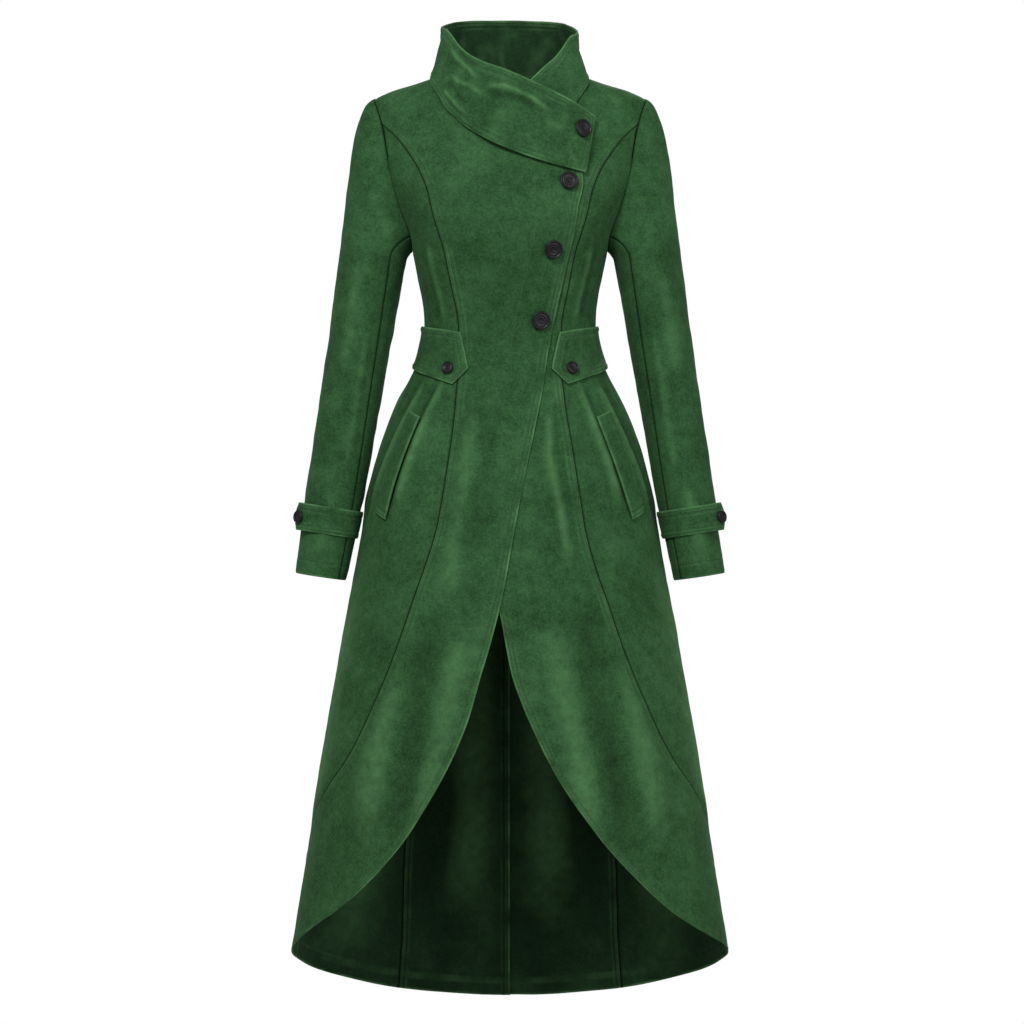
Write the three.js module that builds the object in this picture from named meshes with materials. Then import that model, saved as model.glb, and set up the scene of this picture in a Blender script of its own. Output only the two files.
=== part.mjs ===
// A woman's long coat in napped cloth, filled out as if worn: wrapped funnel collar, slanting
// buttoned front, waist tabs, cut-away fronts and a longer back.
// Millimetres, +Z up. The front faces -Y and the wearer's left is +X. The origin is the middle of
// the neck at the height of the shoulders, where the wearer holds the coat.
import * as THREE from 'three';

const DEG = Math.PI / 180;

// Driving sizes
const CLOTH = 2; // wall of the body cloth
const COLLAR_CLOTH = 2.6; // the collar is two layers pressed together
const SEAM_GAP = 0.3; // between two pieces that are sewn together
const AIR = 1.2; // between layers that lie on each other
const LAP = CLOTH + AIR; // outer face of a layer that laps over a panel
const TAB_LIFT = 4; // outer face of a waist tab, which bridges the hollow of the waist
const SHOULDER_TIP = -25.5; // height of the end of the shoulder seam
const NECK = 8; // height of the neck seam at the shoulders and the back
const UNDERARM = -238; // height of the lowest point of the armhole
const FRONT_TIP = -63; // height where the front shaping seam leaves the armhole
const BACK_TIP = -110; // height where the back shaping seam leaves the armhole
const NECK_CORNER = -127; // height where the neck seam meets the slanting front edge
const LEFT_TOP = -97; // the same on the left front, under the other
const HEM_SIDE = -1204; // height of the hem at the sides
const HEM_DIP = 87; // how much lower the hem is at the centre back
const HEM_SWING = 2.5; // how far the back hem strays from an even dip
const HEM_TIP = 84; // angle of the pointed end of each cut-away front
const VENT_TOP = -745; // top of the centre back vent
const VENT_LAP = 8; // angle that the vent's outer layer laps past the centre
const VENT_START = 40; // height over which the vent's lap opens below its top
const VENT_RISE = 90; // height over which the back eases out above the vent
const TIP_RISE = 9; // how far the point of a cut-away front stands above the side hem
const BIG_BUTTON = { radius: 12.6, height: 4.2 };
const SMALL_BUTTON = { radius: 8.8, height: 3.4 };
const THREAD = 1.7; // gap below a button, bridged by its thread shank
const SHANK_SHARE = 0.28; // radius of the shank, as a share of the button's

const CLOTH_COLOUR = 0x2c5733;
const BUTTON_COLOUR = 0x1d171b;

// Turns rows of numbers into objects with the named columns.
function table(names, rows) {
  const keys = names.split(' ');
  return rows.map((row) => Object.fromEntries(keys.map((key, i) => [key, row[i]])));
}

// A smooth curve through two columns of a table that never overshoots its rows.
function curve(rows, from, to) {
  const points = rows.map((row) => [row[from], row[to]]).sort((a, b) => a[0] - b[0]);
  const last = points.length - 1;
  const gap = (i) => points[i + 1][0] - points[i][0];
  const rise = (i) => (points[i + 1][1] - points[i][1]) / gap(i);
  const slope = points.map((point, i) => {
    if (i === 0 || i === last) return rise(Math.max(i - 1, 0));
    if (rise(i - 1) * rise(i) <= 0) return 0;
    const before = gap(i - 1) + 2 * gap(i);
    const after = 2 * gap(i - 1) + gap(i);
    return (before + after) / (before / rise(i - 1) + after / rise(i));
  });
  return (x) => {
    if (x <= points[0][0]) return points[0][1];
    if (x >= points[last][0]) return points[last][1];
    const i = points.findIndex((point) => point[0] > x) - 1;
    const t = (x - points[i][0]) / gap(i);
    const ease = t * t * (3 - 2 * t);
    const bend = t * (1 - t) * gap(i) * ((1 - t) * slope[i] - t * slope[i + 1]);
    return points[i][1] + (points[i + 1][1] - points[i][1]) * ease + bend;
  };
}

const { lerp, smoothstep } = THREE.MathUtils;
const spread = (from, to, steps) => Array.from({ length: steps }, (_, i) => lerp(from, to, i / steps));
const inSteps = (steps) => Array.from({ length: steps + 1 }, (_, i) => i / steps);

// Level sections of the body. Angles run from 0 at the centre front over 90 at the wearer's left
// side to 180 at the centre back. half is half the width, and front and back are the depths before
// and behind the middle. A higher roundness is squarer.
const FORM = table('z half front back roundFront roundBack', [
  [12, 92, 47, 60, 2.0, 2.0],
  [6, 99, 49, 63, 2.0, 2.0],
  [-5, 127, 51, 66, 2.0, 2.1],
  [-18, 168, 54, 70, 2.1, 2.2],
  [-31, 189, 59, 75, 2.2, 2.3],
  [-60, 188, 71, 84, 2.4, 2.4],
  [-113, 179, 93, 94, 2.4, 2.5],
  [-142, 170, 105, 96, 2.4, 2.5],
  [-172, 159, 115, 96, 2.4, 2.5],
  [-196, 148, 120, 94, 2.4, 2.5],
  [-221, 138, 119, 91, 2.4, 2.4],
  [-240, 134, 115, 88, 2.3, 2.4],
  [-281, 125.6, 104, 82, 2.3, 2.3],
  [-320, 119.4, 95, 76, 2.2, 2.3],
  [-345, 118.4, 92, 74, 2.2, 2.2],
  [-372, 123, 94, 77, 2.2, 2.2],
  [-397, 131, 99, 86, 2.2, 2.2],
  [-417, 140, 105, 95, 2.2, 2.2],
  [-455, 157.3, 118, 112, 2.2, 2.2],
  [-513, 178.7, 136, 134, 2.2, 2.2],
  [-590, 198.7, 154, 156, 2.15, 2.15],
  [-707, 219.4, 174, 180, 2.1, 2.1],
  [-900, 252.2, 196, 208, 2.1, 2.1],
  [-1196, 300.5, 222, 244, 2.1, 2.1],
  [-1300, 317, 231, 256, 2.1, 2.1],
]);

// Soft ridges and troughs of the cloth. Each runs from its top angle to its foot angle, spreads
// over its width in degrees, and rises by height (a trough has a height below 0).
const FOLDS = table('top foot topAngle footAngle width height', [
  [-405, -640, -49, -62, 7, 4.5],
  [-430, -700, -33, -40, 6, -3.5],
  [-405, -660, 27, 36, 6, 4],
  [-430, -700, 47, 58, 7, -3.5],
  [-640, -1300, -66, -74, 9, 5],
  [-700, -1300, 66, 76, 9, 5],
  [-600, -1300, 112, 116, 10, 6],
  [-640, -1300, -110, -116, 10, 6],
  [-560, -1300, 132, 130, 9, -6],
  [-580, -1300, -131, -131, 9, -6],
  [-520, -1300, 158, 156, 9, 6],
  [-540, -1300, -157, -158, 9, 6],
  [-230, -345, -50, -38, 7, 2.5],
  [-235, -345, 52, 40, 7, 2.5],
]);

const section = Object.fromEntries(
  Object.keys(FORM[0]).slice(1).map((key) => [key, curve(FORM, 'z', key)]),
);

function foldHeight(angle, z) {
  return FOLDS.reduce((sum, fold) => {
    if (z > fold.top) return sum;
    const along = Math.min((fold.top - z) / (fold.top - fold.foot), 1);
    const off = (angle - lerp(fold.topAngle, fold.footAngle, along)) / fold.width;
    const fade = smoothstep(along, 0, 0.3) * (fold.foot < HEM_SIDE ? 1 : 1 - smoothstep(along, 0.6, 1));
    return sum + fold.height * fade * Math.exp(-off * off);
  }, 0);
}

function formRadius(angle, z) {
  const across = Math.sin(angle * DEG) / section.half(z);
  const isFront = Math.cos(angle * DEG) > 0;
  const depth = Math.cos(angle * DEG) / (isFront ? section.front(z) : section.back(z));
  const round = isFront ? section.roundFront(z) : section.roundBack(z);
  const radius = (Math.abs(across) ** round + Math.abs(depth) ** round) ** (-1 / round);
  const turn = angle > 180 ? angle - 360 : angle < -180 ? angle + 360 : angle;
  return radius + foldHeight(turn, z);
}

function polar(angle, radius, z) {
  return new THREE.Vector3(radius * Math.sin(angle * DEG), -radius * Math.cos(angle * DEG), z);
}

// The point of the form at an angle and a height, and the same moved out along its normal.
const onForm = (angle, z) => polar(angle, formRadius(angle, z), z);

function offForm(angle, z, lift) {
  const step = 0.5;
  const across = onForm(angle + step, z).sub(onForm(angle - step, z));
  const up = onForm(angle, z + step).sub(onForm(angle, z - step));
  return onForm(angle, z).addScaledVector(across.cross(up).normalize(), lift);
}

// A closed wall between an outer and an inner grid of points, given as rows from the bottom up,
// each running counter-clockwise as seen from above.
function wall(outer, inner) {
  const corners = [];
  const quad = (...q) => [0, 1, 2, 0, 2, 3].forEach((i) => corners.push(...q[i].toArray()));
  const lastRow = outer.length - 1;
  const lastColumn = outer[0].length - 1;
  for (let j = 0; j < lastRow; j += 1) {
    for (let i = 0; i < lastColumn; i += 1) {
      quad(outer[j][i], outer[j][i + 1], outer[j + 1][i + 1], outer[j + 1][i]);
      quad(inner[j][i], inner[j + 1][i], inner[j + 1][i + 1], inner[j][i + 1]);
    }
    quad(inner[j][0], outer[j][0], outer[j + 1][0], inner[j + 1][0]);
    quad(inner[j][lastColumn], inner[j + 1][lastColumn], outer[j + 1][lastColumn], outer[j][lastColumn]);
  }
  for (let i = 0; i < lastColumn; i += 1) {
    quad(inner[0][i], inner[0][i + 1], outer[0][i + 1], outer[0][i]);
    quad(outer[lastRow][i], outer[lastRow][i + 1], inner[lastRow][i + 1], inner[lastRow][i]);
  }
  const geometry = new THREE.BufferGeometry();
  geometry.setAttribute('position', new THREE.Float32BufferAttribute(corners, 3));
  geometry.computeVertexNormals();
  return geometry;
}

const coat = new THREE.Group();

function add(name, geometry, colour = CLOTH_COLOUR, roughness = 0.95) {
  const mesh = new THREE.Mesh(
    geometry,
    new THREE.MeshStandardMaterial({ color: colour, roughness, metalness: 0 }),
  );
  mesh.name = name;
  coat.add(mesh);
  return mesh;
}

// The armhole of the wearer's left, by the sleeve's own turn: 0 at its front, 90 at the top, 180 at
// the back and 270, or -90, under the arm.
const ARMHOLE = table('turn angle z', [
  [-90, 90, UNDERARM],
  [-60, 83.5, -231],
  [-35, 78, -219],
  [-10, 75.2, -194],
  [10, 74.8, -160],
  [35, 76, -116],
  [60, 80, FRONT_TIP],
  [90, 90, SHOULDER_TIP],
  [120, 99, -62],
  [145, 103.5, BACK_TIP],
  [170, 106, -155],
  [195, 106, -190],
  [220, 102, -215],
  [245, 96, -231],
  [270, 90, UNDERARM],
]);
const holeAngle = curve(ARMHOLE, 'turn', 'angle');
const holeHeight = curve(ARMHOLE, 'turn', 'z');

// Where a test that is false at one value and true at another changes.
function turningPoint(isPast, from, to) {
  let [before, after] = [from, to];
  for (let i = 0; i < 40; i += 1) {
    const middle = (before + after) / 2;
    if (isPast(middle)) after = middle;
    else before = middle;
  }
  return after;
}
const armholeFront = (z) => holeAngle(turningPoint((turn) => holeHeight(turn) > z, -90, 90));
const armholeBack = (z) => holeAngle(turningPoint((turn) => holeHeight(turn) > z, 270, 90));

// The seam that shapes the front, from the armhole over the bust and waist to the hem.
const FRONT_SEAM = table('z angle', [
  [FRONT_TIP, 80],
  [-84.5, 71.3],
  [-105, 64.9],
  [-130, 57.6],
  [-163, 50.9],
  [-198, 47.4],
  [-256, 43.6],
  [-347, 42.2],
  [-422, 37.1],
  [-472, 34.6],
  [-533, 34],
  [-607, 35],
  [-665, 38.2],
  [-715, 42.2],
  [-785, 47.7],
  [-850, 54],
  [-932, 63.5],
  [-970, 71.1],
  [-1012, 81.7],
  [-1035, 86.7],
  [-1110, 94],
  [HEM_SIDE, 100],
]);

// The seam that shapes the back.
const BACK_SEAM = table('z angle', [
  [BACK_TIP, 103.5],
  [-150, 118],
  [-200, 129],
  [-260, 136],
  [-345, 141],
  [-450, 146],
  [-700, 145],
  [-1068, 142.5],
  [HEM_SIDE, 144],
]);
const frontSeam = curve(FRONT_SEAM, 'z', 'angle');
const backSeam = curve(BACK_SEAM, 'z', 'angle');

// Neck seam, slanting front edge and cut-away edge of the wearer's right front, which laps over.
const RIGHT_EDGE = table('z angle', [
  [NECK, -86],
  [4, -77],
  [-10, -66],
  [-43, -52],
  [-65, -36],
  [-82, -18],
  [-100, 6],
  [-116, 30],
  [NECK_CORNER, 46.5],
  [-140, 46.9],
  [-188, 41.5],
  [-259, 38.8],
  [-323, 36.5],
  [-403, 26.8],
  [-479, 15.6],
  [-559, 7],
  [-636, 1.3],
  [-701, -2.6],
  [-768, -7.6],
  [-816, -11.8],
  [-872, -16.1],
  [-910, -20],
  [-972, -27.9],
  [-1047, -39.9],
  [-1118, -55.4],
  [-1170, -72.8],
  [HEM_SIDE + TIP_RISE, -HEM_TIP],
]);

// The same of the wearer's left front. It lies under the other down to the top of the cut-away.
const LEFT_EDGE = table('z angle', [
  [NECK, 86],
  [4, 77],
  [-10, 66],
  [-43, 52],
  [-65, 36],
  [-82, 21],
  [LEFT_TOP, 14],
  [-194, 6],
  [-255, 0],
  [-330, -8],
  [-400, -16],
  [-480, -20],
  [-560, -19],
  [-636, -14],
  [-700, -8.5],
  [-736, -4.2],
  [-775, -1.8],
  [-814, 0.7],
  [-855, 5],
  [-901, 10.8],
  [-954, 18.3],
  [-1034, 32.6],
  [-1093, 45.3],
  [-1129, 54.2],
  [-1176, 71.8],
  [HEM_SIDE + TIP_RISE, HEM_TIP],
]);
const rightEdge = curve(RIGHT_EDGE, 'z', 'angle');
const leftEdge = curve(LEFT_EDGE, 'z', 'angle');
// The hem dips to the centre back, slowly at first and then faster.
function hem(angle) {
  const across = Math.cos(angle * DEG);
  return HEM_SIDE + HEM_DIP * across + (across < 0 ? -HEM_SWING * Math.sin(2 * Math.PI * across) : 0);
}

// Heights of the rows of points. Panels that share a seam have the same rows along it.
const LOW_ROW = HEM_SIDE + TIP_RISE;
const SKIRT_PIVOT = -900;
const CHEST_PIVOT = -300;
const ROWS = [
  ...spread(LOW_ROW, SKIRT_PIVOT, 6),
  ...spread(SKIRT_PIVOT, -520, 5),
  ...spread(-520, CHEST_PIVOT, 8),
  ...spread(CHEST_PIVOT, NECK_CORNER, 7),
  ...spread(NECK_CORNER, FRONT_TIP, 6),
  FRONT_TIP,
];
const SHOULDER_ROWS = [-52, -42, -35, -30, SHOULDER_TIP, -20, -13, -6, 1, NECK];

// Moves a row to the height that it has where the panel ends at a given bottom and top.
function fitRow(level, bottom, top) {
  if (level < SKIRT_PIVOT) {
    return lerp(SKIRT_PIVOT, bottom, (level - SKIRT_PIVOT) / (LOW_ROW - SKIRT_PIVOT));
  }
  if (level > CHEST_PIVOT) {
    return lerp(CHEST_PIVOT, top, (level - CHEST_PIVOT) / (FRONT_TIP - CHEST_PIVOT));
  }
  return level;
}

// A body panel between two edges, each given as an angle by height.
function panel(name, { from, to, columns, rows = ROWS, above = [], top = () => FRONT_TIP, lift = () => 0 }) {
  const place = (level, across, isAbove) => {
    const footAngle = lerp(from(LOW_ROW), to(LOW_ROW), across);
    const z = isAbove ? level : fitRow(level, hem(footAngle), top(across));
    const inset = (SEAM_GAP / 2 / formRadius(lerp(from(z), to(z), across), z)) / DEG;
    return [lerp(from(z) + inset, to(z) - inset, across), z];
  };
  const grid = (sink) => [...rows.map((z) => [z, false]), ...above.map((z) => [z, true])].map(
    ([level, isAbove]) => inSteps(columns).map((across) => {
      const [angle, z] = place(level, across, isAbove);
      return offForm(angle, z, lift(angle, z) - sink);
    }),
  );
  add(name, wall(grid(0), grid(CLOTH)));
}

// Fronts: centre front to the shaping seam, the armhole and the shoulder seam.
function frontOuter(z) {
  if (z <= FRONT_TIP) return frontSeam(z);
  return z <= SHOULDER_TIP ? armholeFront(z) : 90;
}
panel('front_right', {
  from: (z) => -frontOuter(z),
  to: rightEdge,
  columns: 11,
  above: SHOULDER_ROWS,
  lift: (angle, z) => LAP * smoothstep(angle - leftEdge(Math.min(z, LEFT_TOP)), -12, -3),
});
panel('front_left', {
  from: leftEdge,
  to: frontOuter,
  columns: 8,
  above: SHOULDER_ROWS,
});

// Sides: one panel from the front shaping seam to the back one, under the armhole.
const ARMHOLE_EASE = 2.5; // the straight edge between two columns stays this far below the curve
function armholeHeight(across) {
  const angleAt = (z) => lerp(frontSeam(z), backSeam(z), across);
  const height = angleAt(UNDERARM) < 90
    ? turningPoint((z) => angleAt(z) > armholeFront(z), UNDERARM, FRONT_TIP)
    : turningPoint((z) => angleAt(z) < armholeBack(z), UNDERARM, BACK_TIP);
  return height - ARMHOLE_EASE * Math.sin(Math.PI * across);
}
const SIDE_COLUMNS = 10;
panel('side_left', { from: frontSeam, to: backSeam, columns: SIDE_COLUMNS, top: armholeHeight });
panel('side_right', {
  from: (z) => -backSeam(z),
  to: (z) => -frontSeam(z),
  columns: SIDE_COLUMNS,
  top: (across) => armholeHeight(1 - across),
});

// Backs: centre back seam to the back shaping seam, with a vent below the hip.
function backOuter(z) {
  if (z <= BACK_TIP) return backSeam(z);
  return z <= SHOULDER_TIP ? armholeBack(z) : 90;
}
const BACK_ABOVE = [-86, FRONT_TIP, ...SHOULDER_ROWS];
const ventLap = (z) => VENT_LAP * (1 - smoothstep(z, VENT_TOP - VENT_START, VENT_TOP));
panel('back_left', {
  from: backOuter,
  to: (z) => 180 + ventLap(z),
  columns: 7,
  above: BACK_ABOVE,
  top: () => BACK_TIP,
  lift: (angle, z) => (
    LAP * smoothstep(angle, 180 - VENT_LAP, 178) * (1 - smoothstep(z, VENT_TOP, VENT_TOP + VENT_RISE))
  ),
});
panel('back_right', {
  from: () => -180,
  to: (z) => -backOuter(z),
  columns: 6,
  above: BACK_ABOVE,
  top: () => BACK_TIP,
});

// Sections of the wearer's left sleeve below the armhole, square to the arm.
const ARM = table('z x y half depth', [
  [-243, 189, 2, 46.5, 60],
  [-300, 198, 4, 45, 57],
  [-359, 207, 4, 43.5, 54],
  [-417, 216.5, 2, 42.4, 51],
  [-475, 225.6, -2, 41.5, 49],
  [-552, 238, -8, 40.5, 46],
  [-591, 244.5, -12, 39.8, 44.5],
  [-629, 250.5, -16, 37.7, 43.5],
  [-685, 260.3, -22, 35.5, 42],
]);
const ARM_TILT = 8.5; // degrees that the arm hangs out from upright
const ARM_TOP = -243;
const ARM_FOOT = -685;
const CAP_OUT = 0.155; // how far the sleeve head runs straight out, as a share of its length
const CAP_DOWN = 0.33; // how far it then runs down the arm, likewise
const CAP_CLEAR = 1.6; // how far the sleeve head starts outside the armhole
const HOLE_MIDDLE = -135; // height of the middle of the armhole
const HOLE_SHARE = 0.965; // size of the sleeve head's own ring, as a share of the armhole
const arm = Object.fromEntries(Object.keys(ARM[0]).slice(1).map((key) => [key, curve(ARM, 'z', key)]));
const armDown = new THREE.Vector3(Math.sin(ARM_TILT * DEG), 0, -Math.cos(ARM_TILT * DEG));
const armAcross = new THREE.Vector3(Math.cos(ARM_TILT * DEG), 0, Math.sin(ARM_TILT * DEG));

function onArm(turn, z) {
  return new THREE.Vector3(arm.x(z), arm.y(z), z)
    .addScaledVector(armAcross, arm.half(z) * Math.sin(turn * DEG))
    .add(new THREE.Vector3(0, -arm.depth(z) * Math.cos(turn * DEG), 0));
}

// along is 0 at the cuff, 1 where the sleeve head starts and 2 at the armhole.
function onSleeve(turn, along) {
  if (along <= 1) return onArm(turn, lerp(ARM_FOOT, ARM_TOP, along));
  const round = turn < -90 ? turn + 360 : turn > 270 ? turn - 360 : turn;
  const angle = lerp(90, holeAngle(round), HOLE_SHARE);
  const z = lerp(HOLE_MIDDLE, holeHeight(round), HOLE_SHARE);
  const hole = onForm(angle, z).add(new THREE.Vector3(CAP_CLEAR, 0, 0));
  const start = onArm(turn, ARM_TOP);
  const length = start.distanceTo(hole);
  const headOut = hole.clone().add(new THREE.Vector3(CAP_OUT * length, 0, 0));
  const headDown = start.clone().addScaledVector(armDown, -CAP_DOWN * length);
  return new THREE.CubicBezierCurve3(start, headDown, headOut, hole).getPoint(along - 1);
}

function offSleeve(turn, along, lift) {
  const step = 0.01;
  const up = along > 1.98
    ? onSleeve(turn, along).sub(onSleeve(turn, along - step))
    : onSleeve(turn, along + step).sub(onSleeve(turn, along));
  const across = onSleeve(turn + 1, along).sub(onSleeve(turn - 1, along));
  return onSleeve(turn, along).addScaledVector(across.cross(up).normalize(), lift);
}

// Mirrors a grid of points to the wearer's right and keeps its running direction.
const MIRROR = new THREE.Vector3(-1, 1, 1);
const mirrored = (grid) => grid.map((row) => row.map((p) => p.clone().multiply(MIRROR)).reverse());

// Adds a piece on the sleeve to both sleeves. place gives its turn, its way along and its lift.
function onBothSleeves(name, columns, steps, place, thickness) {
  const grid = (sink) => steps.map((step) => inSteps(columns).map((across) => {
    const [turn, along, lift] = place(across, step);
    return offSleeve(turn, along, lift - sink);
  }));
  add(`${name}_left`, wall(grid(0), grid(thickness)));
  add(`${name}_right`, wall(mirrored(grid(0)), mirrored(grid(thickness))));
}

// Two-piece sleeve: its seams run down the front and the back of the arm, a little inside.
const SLEEVE_STEPS = [...spread(0, 1, 9), 1, 1.15, 1.3, 1.45, 1.6, 1.74, 1.86, 1.95, 2];
const sleeveFrontSeam = (along) => lerp(-49, -34, Math.min(along, 1));
const sleeveBackSeam = (along) => lerp(222, 212, Math.min(along, 1));
const sleeveInset = SEAM_GAP / 2 / 45 / DEG;
onBothSleeves('upper_sleeve', 12, SLEEVE_STEPS, (across, along) => [
  lerp(sleeveFrontSeam(along) + sleeveInset, sleeveBackSeam(along) - sleeveInset, across), along, 0,
], CLOTH);
onBothSleeves('under_sleeve', 5, SLEEVE_STEPS, (across, along) => [
  lerp(sleeveBackSeam(along) + sleeveInset, 360 + sleeveFrontSeam(along) - sleeveInset, across), along, 0,
], CLOTH);

// Cuff strap: from the back sleeve seam round the inside and the front to a buttoned point.
const STRAP_LOW = 0.131; // along the sleeve
const STRAP_HIGH = 0.216;
const STRAP_POINT = 76; // turn of the strap's point, and of the corners behind it
const STRAP_CORNER = 65;
const STRAP_STAND = 9; // how far the free end stands off the sleeve
const STRAP_END = -140; // turn where it is sewn in, at the back sleeve seam
const strapLift = (turn) => LAP + STRAP_STAND * smoothstep(turn, 15, 80);
onBothSleeves('cuff_strap', 16, inSteps(2), (across, step) => {
  const end = lerp(STRAP_POINT, STRAP_CORNER, Math.abs(step - 0.5) * 2);
  const turn = lerp(STRAP_END, end, across);
  return [turn, lerp(STRAP_LOW, STRAP_HIGH, step), strapLift(turn)];
}, CLOTH);

// Pieces that lie on a body panel, one on each side: place gives the angle and the height across
// and up the wearer's left one.
function onPanels(name, columns, rows, place, lift) {
  [['left', 1], ['right', -1]].forEach(([side, sign]) => {
    const grid = (sink) => inSteps(rows).map((step) => {
      const row = inSteps(columns).map((across) => {
        const [angle, z] = place(across, step);
        return offForm(sign * angle, z, lift - sink);
      });
      return sign > 0 ? row : row.reverse();
    });
    add(`${name}_${side}`, wall(grid(0), grid(CLOTH)));
  });
}

// Waist tab: from the back shaping seam round the side to a buttoned point at the front.
const TAB = table('angle low high', [
  [39.8, -423.5, -351],
  [60, -411, -345],
  [90, -399, -340],
  [115, -398, -345],
  [140, -400, -350],
]);
const TAB_POINT = { angle: 30.8, z: -402 };
const tabLow = curve(TAB, 'angle', 'low');
const tabHigh = curve(TAB, 'angle', 'high');
onPanels('waist_tab', 14, 3, (across, step) => {
  const pointShare = (TAB_POINT.z - TAB[0].low) / (TAB[0].high - TAB[0].low);
  const away = step < pointShare ? 1 - step / pointShare : (step - pointShare) / (1 - pointShare);
  const frontAngle = lerp(TAB_POINT.angle, TAB[0].angle, away);
  const angle = lerp(frontAngle, TAB.at(-1).angle, across);
  return [angle, lerp(tabLow(angle), tabHigh(angle), step)];
}, TAB_LIFT);

// Pocket welt: a slanting strip whose outer long edge is the mouth of the pocket.
const WELT = table('step inner outer innerZ outerZ', [
  [0, 60.4, 68.8, -607, -596],
  [1, 52.6, 63.8, -467, -457],
]);
const welt = Object.fromEntries(Object.keys(WELT[0]).slice(1).map((key) => [key, curve(WELT, 'step', key)]));
onPanels('pocket_welt', 2, 6, (across, step) => [
  lerp(welt.inner(step), welt.outer(step), across), lerp(welt.innerZ(step), welt.outerZ(step), across),
], LAP);

// Collar: one band that starts hidden at the front, goes round the wearer's left, the back and the
// right, and crosses the front to a buttoned end. Its turns run backwards from the hidden start.
// Each row gives both edges: the angle and height of the lower one, how far it stands off the body,
// and the angle, radius and height of the upper one, with how far the cloth bellies out between.
const COLLAR = table('lowAngle lowZ lift topAngle topRadius topZ belly', [
  [380, -84, 3.9, 378, 76, -10, 2],
  [396, -74, 3.9, 396, 78, 12, 2],
  [411, -52, 3.9, 410, 82, 28, 2],
  [420, -28, 3.9, 426, 85, 50, 2],
  [433, -4, 3.6, 435, 87, 59, 0],
  [450, 9, 3.2, 450, 89.5, 66, 0],
  [480, 5, 2.6, 480, 86, 83, 0],
  [510, -1, 2.4, 510, 82, 89, 2],
  [540, -3, 2.4, 540, 80, 91, 2],
  [570, -1, 2.4, 570, 82, 90, 2],
  [600, 5, 2.6, 600, 86, 85, 0],
  [630, 9, 3.2, 630, 90, 73, 0],
  [647, -4.5, 3.6, 641, 90.5, 70, 1],
  [658, -24, 3.9, 651, 88, 62, 3],
  [668, -48, 4, 670, 85, 38, 5],
  [684, -73, 4.4, 692, 85, 20, 5],
  [702, -90, 7.2, 714, 89, 8, 5],
  [726, -108, 7.8, 731, 95, -4, 4],
  [748, -123, 7.8, 749, 108, -20, 3],
  [765.5, -134, 7.8, 765, 122, -37, 2],
]);
const COLLAR_END = { lowAngle: 766.5, lowZ: -134.5, topAngle: 779, topRadius: 137, topZ: -56 };
const rowsByStation = [
  ...COLLAR,
  { ...COLLAR.at(-1), ...COLLAR_END, belly: 0 },
].map((row, station) => ({ ...row, station }));
const collar = Object.fromEntries(
  Object.keys(COLLAR[0]).map((key) => [key, curve(rowsByStation, 'station', key)]),
);
const COLLAR_LAST = rowsByStation.length - 1;

function onCollar(station, up) {
  const at = Object.fromEntries(Object.keys(collar).map((key) => [key, collar[key](station)]));
  const clearOfBody = (angle, z) => formRadius(((angle + 180) % 360) - 180, z - at.lift) + at.lift;
  const angle = lerp(at.lowAngle, at.topAngle, up);
  const z = lerp(at.lowZ, at.topZ, up);
  const ruled = lerp(clearOfBody(at.lowAngle, at.lowZ), at.topRadius, up) + at.belly * Math.sin(Math.PI * up);
  return polar(angle, Math.max(ruled, clearOfBody(angle, z)), z);
}

function offCollar(station, up, lift) {
  const step = 0.02;
  const along = onCollar(Math.min(station + step, COLLAR_LAST), up)
    .sub(onCollar(Math.max(station - step, 0), up));
  const upward = onCollar(station, Math.min(up + step, 1)).sub(onCollar(station, Math.max(up - step, 0)));
  return onCollar(station, up).addScaledVector(along.cross(upward).normalize(), lift);
}

const collarGrid = (sink) => inSteps(6).map((up) => (
  inSteps(2 * COLLAR_LAST).map((along) => offCollar(along * COLLAR_LAST, up, -sink))
));
add('collar', wall(collarGrid(0), collarGrid(COLLAR_CLOTH)));

// A button with a raised rim and a dished face. Its thread shank stands on the cloth.
function button(name, { radius, height }, seat, normal) {
  const shank = (SEAM_GAP - THREAD) / height;
  const profile = [
    [0, shank],
    [SHANK_SHARE, shank],
    [SHANK_SHARE, 0],
    [0.86, 0],
    [1, 0.45],
    [0.93, 1],
    [0.7, 0.66],
    [0, 0.62],
  ].map(([r, h]) => new THREE.Vector2(r * radius, h * height));
  const mesh = add(name, new THREE.LatheGeometry(profile, 16), BUTTON_COLOUR, 0.35);
  mesh.position.copy(seat);
  mesh.quaternion.setFromUnitVectors(new THREE.Vector3(0, 1, 0), normal);
}

// A button that stands on its thread above a surface, which is given by its own function.
function buttonOn(surface, name, size, first, second, lift) {
  const seat = surface(first, second, lift + THREAD);
  const normal = seat.clone().sub(surface(first, second, lift)).normalize();
  button(name, size, seat, normal);
}

// The lowest one stands higher, because the cloth spans the hollow of the waist there.
const FRONT_BUTTONS = table('angle z lift', [
  [38.3, -148.3, LAP],
  [28, -239.1, LAP],
  [24.5, -335.1, LAP + 1],
]);
FRONT_BUTTONS.forEach(({ angle, z, lift }, i) => {
  buttonOn(offForm, `button_front_${i + 2}`, BIG_BUTTON, angle, z, lift);
});
buttonOn(offCollar, 'button_front_1', BIG_BUTTON, COLLAR_LAST - 0.75, 0.64, 0);
buttonOn(offForm, 'button_tab_left', SMALL_BUTTON, 44.8, -402, TAB_LIFT);
buttonOn(offForm, 'button_tab_right', SMALL_BUTTON, -44.8, -402, TAB_LIFT);

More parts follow.
